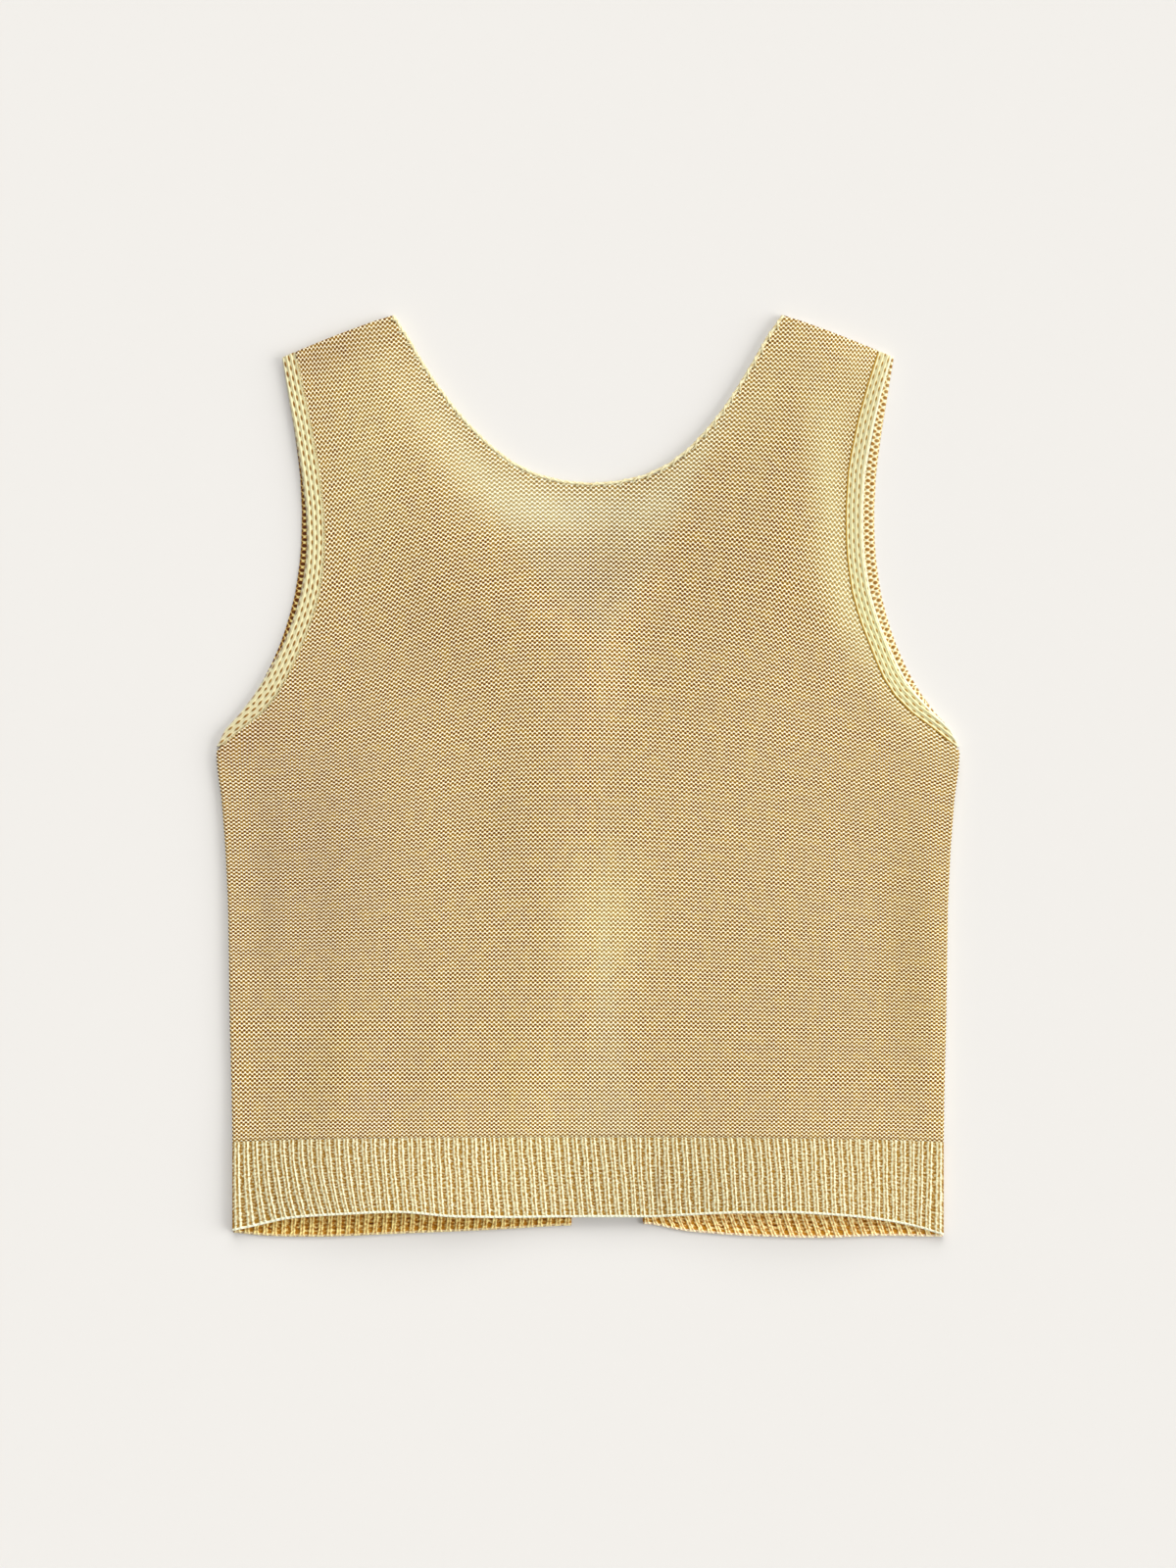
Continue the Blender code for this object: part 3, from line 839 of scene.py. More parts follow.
def yarnFinish(name, tones, spots, furrow=0.55):
    # plied yarn of the edgings and seams, with painted shade in the furrows between its plies
    light, dark = (yarn[tone] for tone in tones)
    finish = Finish(name, light, 0.8, sheen=0.1)
    turn, run, place = finish.stitches()
    plies = near(turn * 3 + run * 0.7) * 2
    uneven = finish.noise(place, 1.3, 3.0)
    # painted shade in the furrows between the plies
    cloth = finish.blend(1 - finish.rise(plies, 0.0, furrow), light, dark)
    cloth = finish.blend(finish.rise(uneven, 0.45, 0.7) * spots, cloth, dark)
    finish.set("Base Color", cloth)
    finish.bump(plies * 0.1 + finish.noise(place, 9.0) * 0.05, mm, 0.8)
    return finish


finishes = {
    "body": purlFinish("backKnit"),
    "front": purlFinish("frontKnit", relief=0.35),
    # painted light and shade: the left front band takes the front ribs' darker colours as shade, the right one lighter
    # colours as on the side the light falls on
    "leftFrontBand": purlFinish("frontBandKnit", ("frontCream", "frontGold", "frontPit")),
    "rightFrontBand": purlFinish("frontBandKnitSoft", ("bandLight", "frontBandGold", "frontBandPit")),
    "rib": ribFinish("ribKnit", ("ribCream", "ribGold", "ribPit"), 0.0, 0.75, 2.0, 1.0),
    "frontRib": ribFinish("frontRibKnit", ("frontCream", "frontGold", "frontPit"), 0.10, 0.5, 2.6, 0.25),
    "leftBand": bandFinish("bandKnit", "bandCream", 0.22, 0.28, 0.25, 0.7),
    "rightBand": bandFinish("bandKnitSoft", "rightCream", 0.19, 0.25, 0.4, 0.35),
    "edging": yarnFinish("edgingYarn", ("edgeCream", "seamGold"), 0.4, 0.25),
    "linking": yarnFinish("linkingYarn", ("bandCream", "bandGold"), 0.7),
    "goldSeam": yarnFinish("goldSeamYarn", ("seamGold", "bandGold"), 0.8),
}

# Body

body = {
    "lining": 12.0,  # spacing of the plain underside's points
    "rimStep": 2.0,
    "frontTop": 2.0,
    "patchFade": 0.7,
    "openingSoft": 5,  # over how much the floor's light fades at the fronts' edges
    # soft patches: x, h, half length, half width, heading, then lighter, redder, yellower and
    # how far the stitches are closed up, which leaves their pits lighter; the lighter and darker values
    # paint light and shade of soft folds, such as the light bands from the left of the neck and down
    # the middle, together with tone that differs from place to place
    "patches": [
        [-85, 458, 46, 12, -57, 0.10, -0.015, 0.02, 0.35],
        [-45, 424, 34, 14, -30, 0.03, -0.02, 0.01, 0.35],
        [0, 413, 46, 13, 0, 0.02, -0.04, -0.07, 0.35],
        [58, 440, 38, 8, 50, 0.0, -0.025, -0.02, 0.25],
        [3, 375, 22, 22, 0, -0.08, 0.0, -0.06],
        [138, 418, 60, 10, -83, 0.08, -0.03, 0.06, 0.5],
        [167, 332, 46, 11, -58, 0.10, -0.03, 0.06, 0.5],
        [150, 480, 30, 10, 80, 0.05, -0.01, 0.05, 0.25],
        [-140, 504, 30, 8, 20, -0.14, 0.03],
        [-125, 450, 55, 22, 90, 0.02, -0.02, 0.03, 0.2],
        [100, 475, 45, 14, 75, 0.0, -0.01, 0.04, 0.2],
        [-158, 225, 75, 42, 90, -0.12, 0.01, -0.06],
        [-181, 180, 70, 6, 90, -0.06],
        [-146, 160, 60, 6, 90, -0.04],
        [-155, 85, 28, 14, 90, -0.08],
        [-195, 282, 20, 8, 30, -0.10, 0.04],
        [-75, 345, 40, 30, 0, -0.05, 0.01],
        [60, 395, 50, 32, 70, -0.05, 0.01],
        [14, 325, 26, 9, 85, 0.14],
        [-18, 352, 22, 6, -40, 0.12],
        [32, 362, 18, 6, 55, 0.10],
        [10, 180, 34, 20, 90, 0.10, -0.03, 0.04, 0.25],
        [13, 128, 32, 14, 90, 0.05],
        [-22, 80, 38, 14, 90, 0.10, -0.02, 0.0, 0.05],
        [-44, 85, 34, 5, 90, 0.0, 0.0, 0.08],
        [-50, 235, 26, 14, 90, -0.07],
        [-5, 280, 50, 12, 90, 0.05, 0.02],
        [-118, 78, 26, 14, 70, -0.03, 0.0, -0.06],
        [-140, 108, 26, 12, 70, 0.0, 0.0, 0.06],
        [182, 160, 62, 12, 90, -0.07, 0.01, 0.07],
        [199, 130, 80, 4, 90, 0.14, 0.0, 0.05],
        [155, 503, 26, 9, -20, 0.14, 0.0, 0.0, 0.1],
        [187, 312, 22, 12, -50, 0.10, 0.0, 0.0, 0.1],
        [-8, 165, 40, 12, 90, 0.08],
        [-95, 95, 30, 12, 90, -0.05],
        [105, 230, 90, 60, 90, 0.03],
        # the last two paint the shade of the step in the rib where the right front's edge lies under it
        [40, 33, 9, 1.5, 86, -0.26, 0.05, 0.06],
        [43, 17, 8, 1.5, 100, -0.12, 0.02, 0.03],
    ],
}


def patchFields(x, h):
    total = np.zeros((4, len(x)))
    for centreX, centreH, long, wide, heading, *changes in body["patches"]:
        a = math.radians(heading)
        along = ((x - centreX) * math.cos(a) + (h - centreH) * math.sin(a)) / long
        across = ((h - centreH) * math.cos(a) - (x - centreX) * math.sin(a)) / wide
        changes += [0] * (4 - len(changes))
        total += np.outer(changes, np.exp(-(along ** 2 + across ** 2) * body["patchFade"]))
    return dict(zip(("tone", "pink", "yellow", "calm"), (*total[:3], np.clip(total[3], 0, 1))))


def openingShare(x, h):
    # how far a place lies inside the open V of the fronts, softened over a few millimetres
    heights = np.linspace(0, 2 * halfLength, 180)
    left = spansOf("front_panel_left", 1, heights)[1]
    right = spansOf("front_panel_right", 1, heights)[0]
    known = ~np.isnan(left) & ~np.isnan(right)
    insideLeft = x - np.interp(h, heights[known], left[known])
    insideRight = np.interp(h, heights[known], right[known]) - x
    share = np.clip(np.minimum(insideLeft, insideRight) / body["openingSoft"] + 0.5, 0, 1)
    return share * share * (3 - 2 * share)


def backFields(x, h):
    return {**patchFields(x, h), "overFloor": openingShare(x, h)}


def plainFields(x, h):
    return {name: 0 * x for name in ("tone", "pink", "yellow", "calm", "overFloor")}


def flatUnder(x, h):
    return 0 * x


def sheetPiece(name, node, sheet, stitches, finish, slot, **more):
    # a closed sheet in a node's place; more gives further fields
    x, h, z, faces, foot = sheet
    fields = {**(plainFields if "front" in node else backFields)(x, h), **more}
    points, stitches = np.stack([x, h, z], 1), np.stack(stitches, 1)
    return makePiece(name, points, faces, finish, slot, [node], stitches, fields, foot)


def knitPanel(name, node, finish, slot, step, under, wall, relief):
    loop = smoothLoop(outlineOf(node), body["rimStep"])
    x, h, faces = panelLattice(loop, step)
    wale, course = stitchAt(x, h)
    top = under(x, h) + wall + (stitchRelief(wale, course) if relief else 0)
    sheet = closeSheet(x, h, top, faces, under, body["lining"])
    return sheetPiece(name, node, sheet, stitchAt(*sheet[:2]), finish, slot)


backKnit = knitPanel("backKnit", "back_panel", finishes["body"], "back_knit", 1, drape, knit["wall"], True)
print("back panel:", len(backKnit.data.polygons), "faces")
fronts = [
    knitPanel(name, node, finishes["front"], "front_knit", 2, flatUnder, body["frontTop"], False)
    for name, node in (("frontKnitLeft", "front_panel_left"), ("frontKnitRight", "front_panel_right"))
]
print("fronts made")

# Hem ribs

def stretchOf(loop, first, last):
    return np.take(loop, first + np.arange((last - first) % len(loop) + 1), 0, mode="wrap")


def ribEdges(node):
    # the node's hem and top edges, left to right
    loop = outlineOf(node)
    x, h = loop.T
    corners = [int(np.argmin(x + h)), int(np.argmax(x - h)), int(np.argmax(x + h)), int(np.argmin(x - h))]
    return stretchOf(loop, corners[0], corners[1]), stretchOf(loop, corners[2], corners[3])[::-1]


def atShare(line, share):
    # points at even shares of a line's corners
    at = np.linspace(0, 1, len(line))
    return np.interp(share, at, line[:, 0]), np.interp(share, at, line[:, 1])


def ribProfile(rib, course, fromHem):
    closing = 1 - np.sqrt(1 - np.clip(1 - fromHem / hem["archReach"], 0, 1) ** 2)
    fromPurl = np.minimum(2 * abs((rib + 0.5) % 1 - 0.5) + closing * hem["purlHalf"], 1)
    legs = np.exp(-((fromPurl - hem["legAt"]) / hem["legHalf"]) ** 2)
    inGroove = np.clip((fromPurl - hem["grooveAt"]) / hem["grooveHalf"], 0, 1)
    inPurl = np.clip(1 - fromPurl / hem["purlReach"], 0, 1)
    arcs = np.cos(2 * math.pi * (course + hem["arcBend"] * fromPurl ** 2))
    return (
        hem["purl"] * inPurl + legs * (hem["legs"] - hem["purl"]) + inGroove * hem["groove"]
        - inPurl ** 0.5 * hem["arc"] * arcs
    )


def ribSheet(name, node, ribs, finish, slot, under):
    hemEdge, topEdge = ribEdges(node)
    rows = hem["courses"] * hem["rowsToACourse"]
    share, down = np.meshgrid(np.linspace(0, 1, ribs * hem["columns"] + 1), np.linspace(0, 1, rows + 1))
    rib, course = share * ribs, down * hem["courses"]
    topX, topH = atShare(topEdge, share)
    topH = topH + hem["overlap"]
    hemX, hemH = atShare(hemEdge, share)
    sway = np.interp(topX, hem["swayAt"], hem["sway"]) if "back" in node else 1.0
    bent = down ** sway
    inner = np.sin(math.pi * down) * np.clip(hem["endFade"] * np.minimum(share, 1 - share), 0, 1)
    waver = hem["waver"] * inner * sum(np.sin(rib * a + down * b + c) for a, b, c in hem["waves"])
    side = node.split("_")[-1]
    lean = hem["frontLean"].get(side, 0.0)
    x = topX * (1 - bent) + hemX * bent + waver + inner * lean
    h = topH * (1 - down) + hemH * down
    fromHem = (1 - down) * (topH - hemH)
    atEdge = np.clip(1 - fromHem / hem["edgeReach"], 0, 1)
    top = under(x, h) + hem["wall"] + ribProfile(rib, course, fromHem) * (1 - atEdge ** 2)
    top -= hem["edgeDrop"] * atEdge ** 2
    upper = x.size
    quads = gridQuads(*x.shape).tolist()
    sheet = closeSheet(x.ravel(), h.ravel(), top.ravel(), quads, under, hem["lining"])
    x, h = sheet[:2]
    lowerShare = np.clip((x[upper:] - hemX[0, 0]) / (hemX[0, -1] - hemX[0, 0]), 0, 1)
    lowerDown = (topH.mean() - h[upper:]) / (topH.mean() - hemH.mean())
    rib = np.concatenate([rib.ravel(), lowerShare * ribs + 0.5])
    course = np.concatenate([course.ravel(), lowerDown * hem["courses"]])
    # the front ribs' painted light and their redder and yellower tint
    tint = zip(("tone", "pink", "yellow"), hem["frontTint"].get(side, ()))
    more = {title: 0 * x + change for title, change in tint}
    more["fromHem"] = np.concatenate([fromHem.ravel(), hem["underFromHem"] + 0 * lowerShare])
    return sheetPiece(name, node, sheet, (rib, course), finish, slot, **more)


backRib = ribSheet("backHemRib", "back_hem_rib", hem["backRibs"], finishes["rib"], "rib_knit", drape)
frontRibs = [
    ribSheet("frontHemRib" + side, node, ribs, finishes["frontRib"], "front_rib_knit", flatUnder)
    for side, node, ribs in (
        ("Left", "front_hem_rib_left", hem["leftRibs"]),
        ("Right", "front_hem_rib_right", hem["rightRibs"]),
    )
]
print("ribs:", len(backRib.data.polygons), "faces on the back's")

# Armhole bands

band = {
    "wale": 2.55,  # width of one column of stitches
    "stitch": 5.75,  # length of one stitch
    "frontWale": 5.0,  # the front bands are plain purl
    "frontStitch": 3.6,
    "outerLight": 0.8,  # width of the painted highlight along the outer edge
    "outerShare": {-1: 0.4, 1: 1.0},  # how strong the painted highlight is, left and right: full on the right, where the light comes from
    "pointStep": 0.5,
    "rowStep": 0.9,
    "start": 278.2,
    "strand": 0.45,  # height of the strands over the wall
    "pit": 0.5,
    "pitSize": (0.45, 0.55),  # half width and half length, in half stitches
    "backWall": 2.0,
    "frontWall": 1.5,
    "lining": 5.0,
    "edge": 0.7,  # how far the outer edge rounds down
    "edgeReach": 1.2,
    "edgePoints": 24,
}


def along(line):
    return np.concatenate([[0], np.cumsum(np.hypot(*np.diff(line, axis=0).T))])


def atLength(line, share):
    run = along(line)
    return np.interp(share * run[-1], run, line[:, 0]), np.interp(share * run[-1], run, line[:, 1])


def fromLine(line, x, h):
    # distance of each place from the line, and how far along the line it is
    run, away, length = along(line), np.full(x.shape, 1e9), 0 * x
    for start, step, begun in zip(line[:-1], np.diff(line, axis=0), run):
        size = np.hypot(*step)
        reach = np.clip(((x - start[0]) * step[0] + (h - start[1]) * step[1]) / size ** 2, 0, 1)
        gap = np.hypot(start[0] + reach * step[0] - x, start[1] + reach * step[1] - h)
        closer = gap < away
        away = np.where(closer, gap, away)
        length = np.where(closer, begun + reach * size, length)
    return away, length


def bandEdges(node, side):
    # outer and body edges of an armhole band, from the underarm up to the shoulder
    loop = outlineOf(node)
    lines = []
    for way in (side, -side):
        corner = loop[np.argmax(loop[:, 1] + way * loop[:, 0])]
        heights = np.linspace(band["start"], corner[1] - 0.05, band["edgePoints"])
        x = spansOf(node, 1, heights)[(way + 1) // 2]
        lines.append(np.stack([x, heights], 1))
    return lines


def bandProfile(wale, course):
    column = np.floor(wale)
    fromMiddle = abs(wale % 1 - 0.5) * 2
    fromPit = 2 * abs((course + 0.5 * (column % 2) + 0.5) % 1 - 0.5)
    strands = np.sin(math.pi * np.clip(fromMiddle, 0, 1) / 2) ** 2
    width, length = band["pitSize"]
    pits = np.exp(-(fromMiddle / width) ** 2 - (fromPit / length) ** 2)
    return band["strand"] * strands - band["pit"] * pits


def bandSheet(name, node, side, finish, under, wall):
    outer, inner = bandEdges(node, side)
    rows = round(along(inner)[-1] / band["rowStep"])
    halfWay = band["edgePoints"] // 2
    columns = round(np.hypot(*(outer[halfWay] - inner[halfWay])) / band["pointStep"])
    share, up = np.meshgrid(np.linspace(0, 1, columns + 1), np.linspace(0, 1, rows + 1))
    outerX, outerH = atLength(outer, up)
    innerX, innerH = atLength(inner, up)
    x = outerX * (1 - share) + innerX * share
    h = outerH * (1 - share) + innerH * share
    away, length = fromLine(inner, x, h)
    wale, course = away / band["wale"], length / band["stitch"]
    atEdge = np.clip(1 - share * columns * band["pointStep"] / band["edgeReach"], 0, 1)
    top = under(x, h) + wall + bandProfile(wale, course) * (1 - atEdge) - band["edge"] * atEdge ** 2
    quads = gridQuads(*x.shape)[:, ::-side].tolist()  # the two sides are mirrored
    sheet = closeSheet(x.ravel(), h.ravel(), top.ravel(), quads, under, band["lining"])
    away, length = fromLine(inner, *sheet[:2])
    front = "front" in node
    wale, stitch = (band["frontWale"], band["frontStitch"]) if front else (band["wale"], band["stitch"])
    # painted highlight along the outer edge, stronger on the right
    fromOuter = fromLine(outer, *sheet[:2])[0] / band["outerLight"]
    light = np.clip(1.5 - fromOuter, 0, 1) * band["outerShare"][side]
    stitches = (away / wale, length / stitch)
    return sheetPiece(name, node, sheet, stitches, finish, "band_knit", outerLight=light)


sides = ((-1, "Left"), (1, "Right"))
bands, bandNodes = [], []
for side, word in sides:
    for half, kind, under in (("back", "Band", drape), ("front", "FrontBand", flatUnder)):
        node = f"armhole_band_{half}_{word.lower()}"
        finish, wall = finishes[word.lower() + kind], band[half + "Wall"]
        bands.append(bandSheet(f"{half}Band{word}", node, side, finish, under, wall))
        bandNodes.append(node)
print("bands:", sum(len(piece.data.polygons) for piece in bands), "faces")

# Edgings and seams of plied yarn

# each yarn's radius, spacing of its rings, points in a ring, plies, length of a turn and furrows
plied = {
    "edging": (0.95, 1.0, 12, 3, 5.0, 0.16),
    "overcast": (0.42, 0.5, 8, 2, 2.0, 0.12),
    "linking": (0.34, 0.6, 6, 2, 2.0, 0.1),
    "gold": (0.5, 0.8, 8, 2, 3.0, 0.2),
    "seam": (0.6, 0.9, 8, 2, 3.0, 0.15),
}


def rope(path, kind):
    # points, faces and map of a plied yarn along a path, closed at both ends
    radius, step, ring, plies, twist, depth = plied[kind]
    run = along(path[:, :2])
    count = max(3, round(run[-1] / step))
    at = np.linspace(0, run[-1], count + 1)
    centre = np.stack([np.interp(at, run, path[:, k]) for k in range(3)], 1)
    heading = np.gradient(centre, axis=0)
    heading /= np.linalg.norm(heading, axis=1)[:, None]
    sideways = np.cross(heading, (0, 0, 1))
    sideways /= np.linalg.norm(sideways, axis=1)[:, None]
    upward = np.cross(sideways, heading)
    turn = np.linspace(0, 1, ring + 1)[None, :-1]
    lobes = 1 + depth * np.cos(2 * math.pi * (plies * turn + plies * at[:, None] / twist))
    size = radius * lobes * np.where((np.arange(count + 1) % count) == 0, 0.35, 1)[:, None]
    angle = 2 * math.pi * turn + 0 * size
    offset = np.cos(angle)[..., None] * sideways[:, None] + np.sin(angle)[..., None] * upward[:, None]
    points = (centre[:, None] + offset * size[..., None]).reshape(-1, 3)
    number = np.arange((count + 1) * ring).reshape(count + 1, ring)
    onward = np.roll(number, -1, 1)
    quads = np.stack([number[:-1], onward[:-1], onward[1:], number[1:]], -1).reshape(-1, 4)
    ends = [number[0][::-1].tolist(), number[-1].tolist()]
    places = np.stack([turn + 0 * size, at[:, None] / 3 + 0 * size], -1).reshape(-1, 2)
    return points, [*quads.tolist(), *ends], places


def joined(parts):
    points, faces, places, base = [], [], [], 0
    for somePoints, someFaces, somePlaces in parts:
        points.append(somePoints)
        faces += [[k + base for k in face] for face in someFaces]
        places.append(somePlaces)
        base += len(somePoints)
    return np.concatenate(points), faces, np.concatenate(places)


def ropePiece(name, parts, finish, replaces=()):
    points, faces, places = joined(parts)
    fields = plainFields(points[:, 0], points[:, 1])
    return makePiece(name, points, faces, finish, "edging_yarn", replaces, places, fields)


def onLine(values, run, at):
    # a line's place or heading at a length along it
    return np.array([np.interp(at, run, values[:, k]) for k in (0, 1)])


edging = {
    "inward": 0.2,  # how far the yarn sits over the body's edge, as a share of its width
    "lift": 0.35,  # above the middle of the cloth
    "points": 120,
    "loopStart": 3.0,
    "loopEvery": 8.1,  # between overcast stitches, which lean over the edge from the cloth below
    "loopReach": 2.6,
    "loopPoints": 9,
    "lean": 3.0,
    "leanRight": 1.6,  # how much further they lean on the right
    "rise": (0.25, 0.35),  # of an overcast stitch over the cloth, and of its arch
    "dip": (1.6, 0.75),  # how far its end dips, and from which share of its length
}


def neckEdge():
    # inner rim of the neckline from the left shoulder to the right, and the edging's outer side
    loop = outlineOf("neck_edging")
    first, last = int(np.argmin(loop[:, 0])), int(np.argmax(loop[:, 0]))
    lower = stretchOf(loop, first, last)
    upper = stretchOf(loop, last + 1, first - 1)[::-1]
    share = np.linspace(0, 1, edging["points"])
    return np.stack(atLength(lower, share), 1), np.stack(atLength(upper, share), 1)


cloth, rim = neckEdge()
middle = cloth * (0.5 + edging["inward"]) + rim * (0.5 - edging["inward"])
height = drape(*middle.T) + knit["wall"] * 0.5 + edging["lift"]
parts = [rope(np.column_stack([middle, height]), "edging")]
outward = rim - cloth
outward /= np.hypot(*outward.T)[:, None]
run = along(middle)
(loopLift, arch), (dip, dipFrom) = edging["rise"], edging["dip"]
for start in np.arange(edging["loopStart"], run[-1] - 2, edging["loopEvery"]):
    lean = edging["lean"] * (1 if start < run[-1] / 2 else edging["leanRight"])
    path = []
    for t in np.linspace(0, 1, edging["loopPoints"]):
        at = start + lean * (t - 0.5)
        reach = min(edging["loopReach"] * (t * 1.5 - 1.0) + 0.4, plied["edging"][0])
        x, h = onLine(middle, run, at) + onLine(outward, run, at) * reach
        z = drape(x, h) + knit["wall"] + loopLift + arch * math.sin(math.pi * min(1, 0.2 + t))
        path.append((x, h, z - dip * max(0, t - dipFrom) / (1 - dipFrom)))
    parts.append(rope(np.array(path), "overcast"))
neckEdging = ropePiece("neckEdging", parts, finishes["edging"], ["neck_edging"])

# Linking seams between bands and body, and the seams at the sides and shoulders
seam = {
    "stitch": 2.9,
    "width": 1.1,
    "overlap": 1.1,  # length of a linking stitch, in stitches
    "apart": 0.12,
    "lift": -0.04,
    "tuck": 0.5,  # how far a stitch's ends go down into the cloth
    "unevenness": 0.175,
    "inset": 0.4,  # how far the linking lies inside the body's edge
    "span": (0.01, 0.995, 100),  # of the armhole, and points
    "sideSpan": (20, 272, 58),
    "ribTo": 56.0,  # up to here the side follows the rib, and from the next height the body
    "bodyFrom": 62.0,
    "sideInset": 0.5,  # how far inside the edge the seam between back and front lies
    "sideDrop": 0.15,
    "shoulderInset": 0.7,
    "shoulderSpan": (112, 178, 40),
    "shoulderDepth": 60,
}
chance = np.random.default_rng(7)


def chainSeam(name, line, finish):
    # small slanted stitches that cross a line, one after another
    run = along(line)
    heading = np.gradient(line, axis=0)
    heading /= np.hypot(*heading.T)[:, None]
    stitches = []
    for start in np.arange(seam["stitch"] / 2, run[-1] - seam["stitch"] / 2, seam["stitch"]):
        for way in (-1, 1):
            path = []
            wobble = chance.normal(0, seam["unevenness"], 2)
            for t in np.linspace(-0.5, 0.5, 6):
                at = start + seam["stitch"] * (t * seam["overlap"]) + wobble[0] * 0.5
                ahead = onLine(heading, run, at)
                aside = way * seam["width"] * (0.5 - abs(t)) * (1 + wobble[1] * 0.4) + way * seam["apart"]
                x, h = onLine(line, run, at) + np.array([-ahead[1], ahead[0]]) * aside
                z = drape(x, h) + knit["wall"] + seam["lift"] - seam["tuck"] * abs(2 * t) ** 3
                path.append((x, h, z))
            stitches.append(rope(np.array(path), "linking"))
    return ropePiece(name, stitches, finish)


def edgeSeam(name, line, lift, kind, finish):
    height = drape(*line.T) + lift
    return ropePiece(name, [rope(np.column_stack([line, height]), kind)], finish)


seams = []
for side, word in sides:
    inner = bandEdges("armhole_band_back_" + word.lower(), side)[1]
    inner = np.stack(atLength(inner, np.linspace(*seam["span"])), 1)
    inner[:, 0] -= side * seam["inset"]
    if side < 0:
        seams.append(chainSeam("linkingSeamLeft", inner, finishes["linking"]))
    else:
        seams.append(edgeSeam("linkingSeamRight", inner, knit["wall"], "gold", finishes["goldSeam"]))

# these join back and front under the edge where they meet
heights = np.linspace(*seam["sideSpan"])
alongRib, alongBody = heights[heights < seam["ribTo"]], heights[heights > seam["bodyFrom"]]
for side, word in sides:
    outer = [spansOf("back_hem_rib", 1, alongRib), spansOf("back_panel", 1, alongBody)]
    outer = np.concatenate(outer, 1)[(side + 1) // 2] - side * seam["sideInset"]
    line = np.stack([outer, np.concatenate([alongRib, alongBody])], 1)
    seams.append(edgeSeam("sideSeam" + word, line, -seam["sideDrop"], "seam", finishes["linking"]))
    across = side * np.linspace(*seam["shoulderSpan"])
    top = spansOf("back_panel", 0, across)[1]
    known = ~np.isnan(top) & (top > 2 * halfLength - seam["shoulderDepth"])
    line = np.stack([across[known], top[known] - seam["shoulderInset"]], 1)
    seams.append(edgeSeam("shoulderSeam" + word, line, -seam["sideDrop"], "seam", finishes["linking"]))
print("seams:", sum(len(piece.data.polygons) for piece in [*seams, neckEdging]), "faces")

# What was knitted flat

leastWidth = 0.01  # the least that can be stated, in metres


def shapedFlat(node, strip=False):
    # width, length and area of the piece as it was knitted, in metres; a strip was straight then
    loop = outlineOf(node) * mm
    x, h = loop.T
    area = abs(np.sum(x * np.roll(h, -1) - np.roll(x, -1) * h)) / 2
    if not strip:
        return {"flat": (float(np.ptp(x)), float(np.ptp(h))), "area": float(area)}
    length = np.hypot(*(np.roll(loop, -1, 0) - loop).T).sum() / 2
    width = area / (length - area / length)
    return {"flat": (max(leastWidth, float(width)), float(area / width)), "area": float(area)}


belowBack = [*fronts, *frontRibs, bands[1], bands[3]]
sewnOn = [neckEdging, *seams]
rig.sheet(backKnit, held="laid", rests_on=belowBack, with_pieces=sewnOn, **shapedFlat("back_panel"))
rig.sheet(backRib, held="laid", rests_on=frontRibs, **shapedFlat("back_hem_rib"))
frontNodes = [f"front_{part}_{side}" for part in ("panel", "hem_rib") for side in ("left", "right")]
for piece, node in zip(belowBack, frontNodes):
    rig.sheet(piece, held="laid", rests_on=["floor"], **shapedFlat(node))
for piece, node, below in zip(bands, bandNodes, (bands[1], "floor", bands[3], "floor")):
    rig.sheet(piece, held="laid", rests_on=[below], **shapedFlat(node, strip=True))
print("sheets declared")

# Room, light and camera

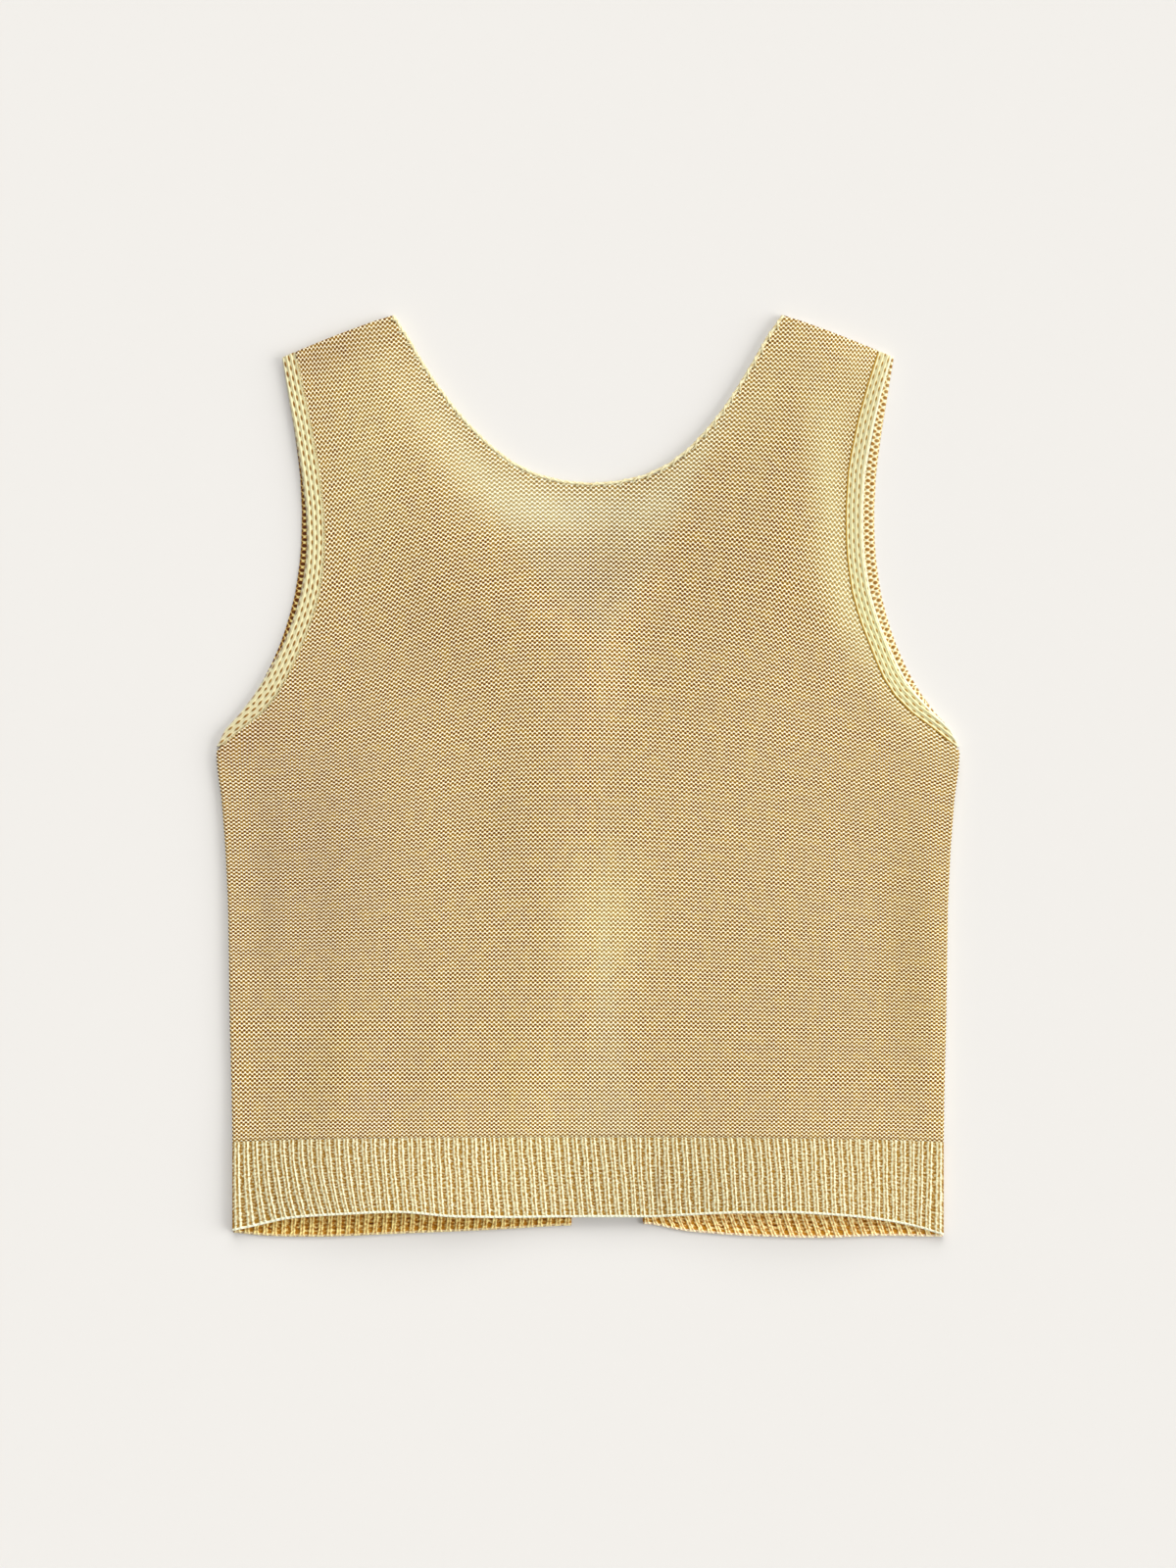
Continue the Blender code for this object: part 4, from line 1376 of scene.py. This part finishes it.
room = {
    "floorColour": (0.896, 0.871, 0.831),
    "brightness": 1.28,  # of the light; the floor's colour is divided by it
    "floorSize": 9.0,
    "floorDrop": 0.0002,
    "suns": {  # share of the light on the floor, azimuth, elevation and spread
        "overheadSun": [0.22, 0, 90, 4],
        "rightSun": [0.33, -4, 29, 50],
        "topSun": [0.40, 88, 40, 50],
    },
    "sky": 0.05,
}
camera = {
    "lens": 100.0,
    "frameHeight": 888.9,  # of the picture, in millimetres on the floor
    "middle": 257.1,  # height on the plan that the camera looks down on
}


def addSun(name, share, azimuth, elevation, spread):
    lamp = bpy.data.lights.new(name, "SUN")
    lamp.energy = room["brightness"] * share * math.pi / math.sin(math.radians(elevation))
    lamp.angle = math.radians(spread)
    sun = bpy.data.objects.new(name, lamp)
    bpy.context.scene.collection.objects.link(sun)
    a, e = math.radians(azimuth), math.radians(elevation)
    toLight = Vector((math.cos(a) * math.cos(e), math.sin(a) * math.cos(e), math.sin(e)))
    sun.rotation_mode = "QUATERNION"
    sun.rotation_quaternion = toLight.to_track_quat("Z", "Y")
    sun.location = toLight * 2


for name, values in room["suns"].items():
    addSun(name, *values)
world = bpy.data.worlds.new("studio")
world.use_nodes = True
world.node_tree.nodes["Background"].inputs["Color"].default_value = (1, 1, 1, 1)
world.node_tree.nodes["Background"].inputs["Strength"].default_value = room["sky"] * room["brightness"]
bpy.context.scene.world = world
bpy.context.scene.view_settings.view_transform = "Standard"

floorMesh = bpy.data.meshes.new("floor")
reach = room["floorSize"] / 2
floorCorners = [(-reach, -reach, 0), (reach, -reach, 0), (reach, reach, 0), (-reach, reach, 0)]
floorMesh.from_pydata(floorCorners, [], [(0, 1, 2, 3)])
floor = bpy.data.objects.new("floor", floorMesh)
floor.location.z = -room["floorDrop"]
bpy.context.scene.collection.objects.link(floor)
paper = Finish("paleFloor", tuple(value / room["brightness"] for value in room["floorColour"]), 1.0)
paper.set("Specular IOR Level", 0.0)
floorMesh.materials.append(paper.material)
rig.stage(floor)

lens = bpy.data.cameras.new("camera")
lens.lens = camera["lens"]
eye = bpy.data.objects.new("camera", lens)
bpy.context.scene.collection.objects.link(eye)
distance = camera["frameHeight"] * camera["lens"] / lens.sensor_width
eye.location = (0, (camera["middle"] - halfLength) * mm, distance * mm)
bpy.context.scene.camera = eye
print("room ready")

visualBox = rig.bounds()
with open("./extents.json", "w") as sizes:
    boxes = {"cad": cadBox, "visual": visualBox}
    json.dump({name: [list(corner) for corner in box] for name, box in boxes.items()}, sizes)
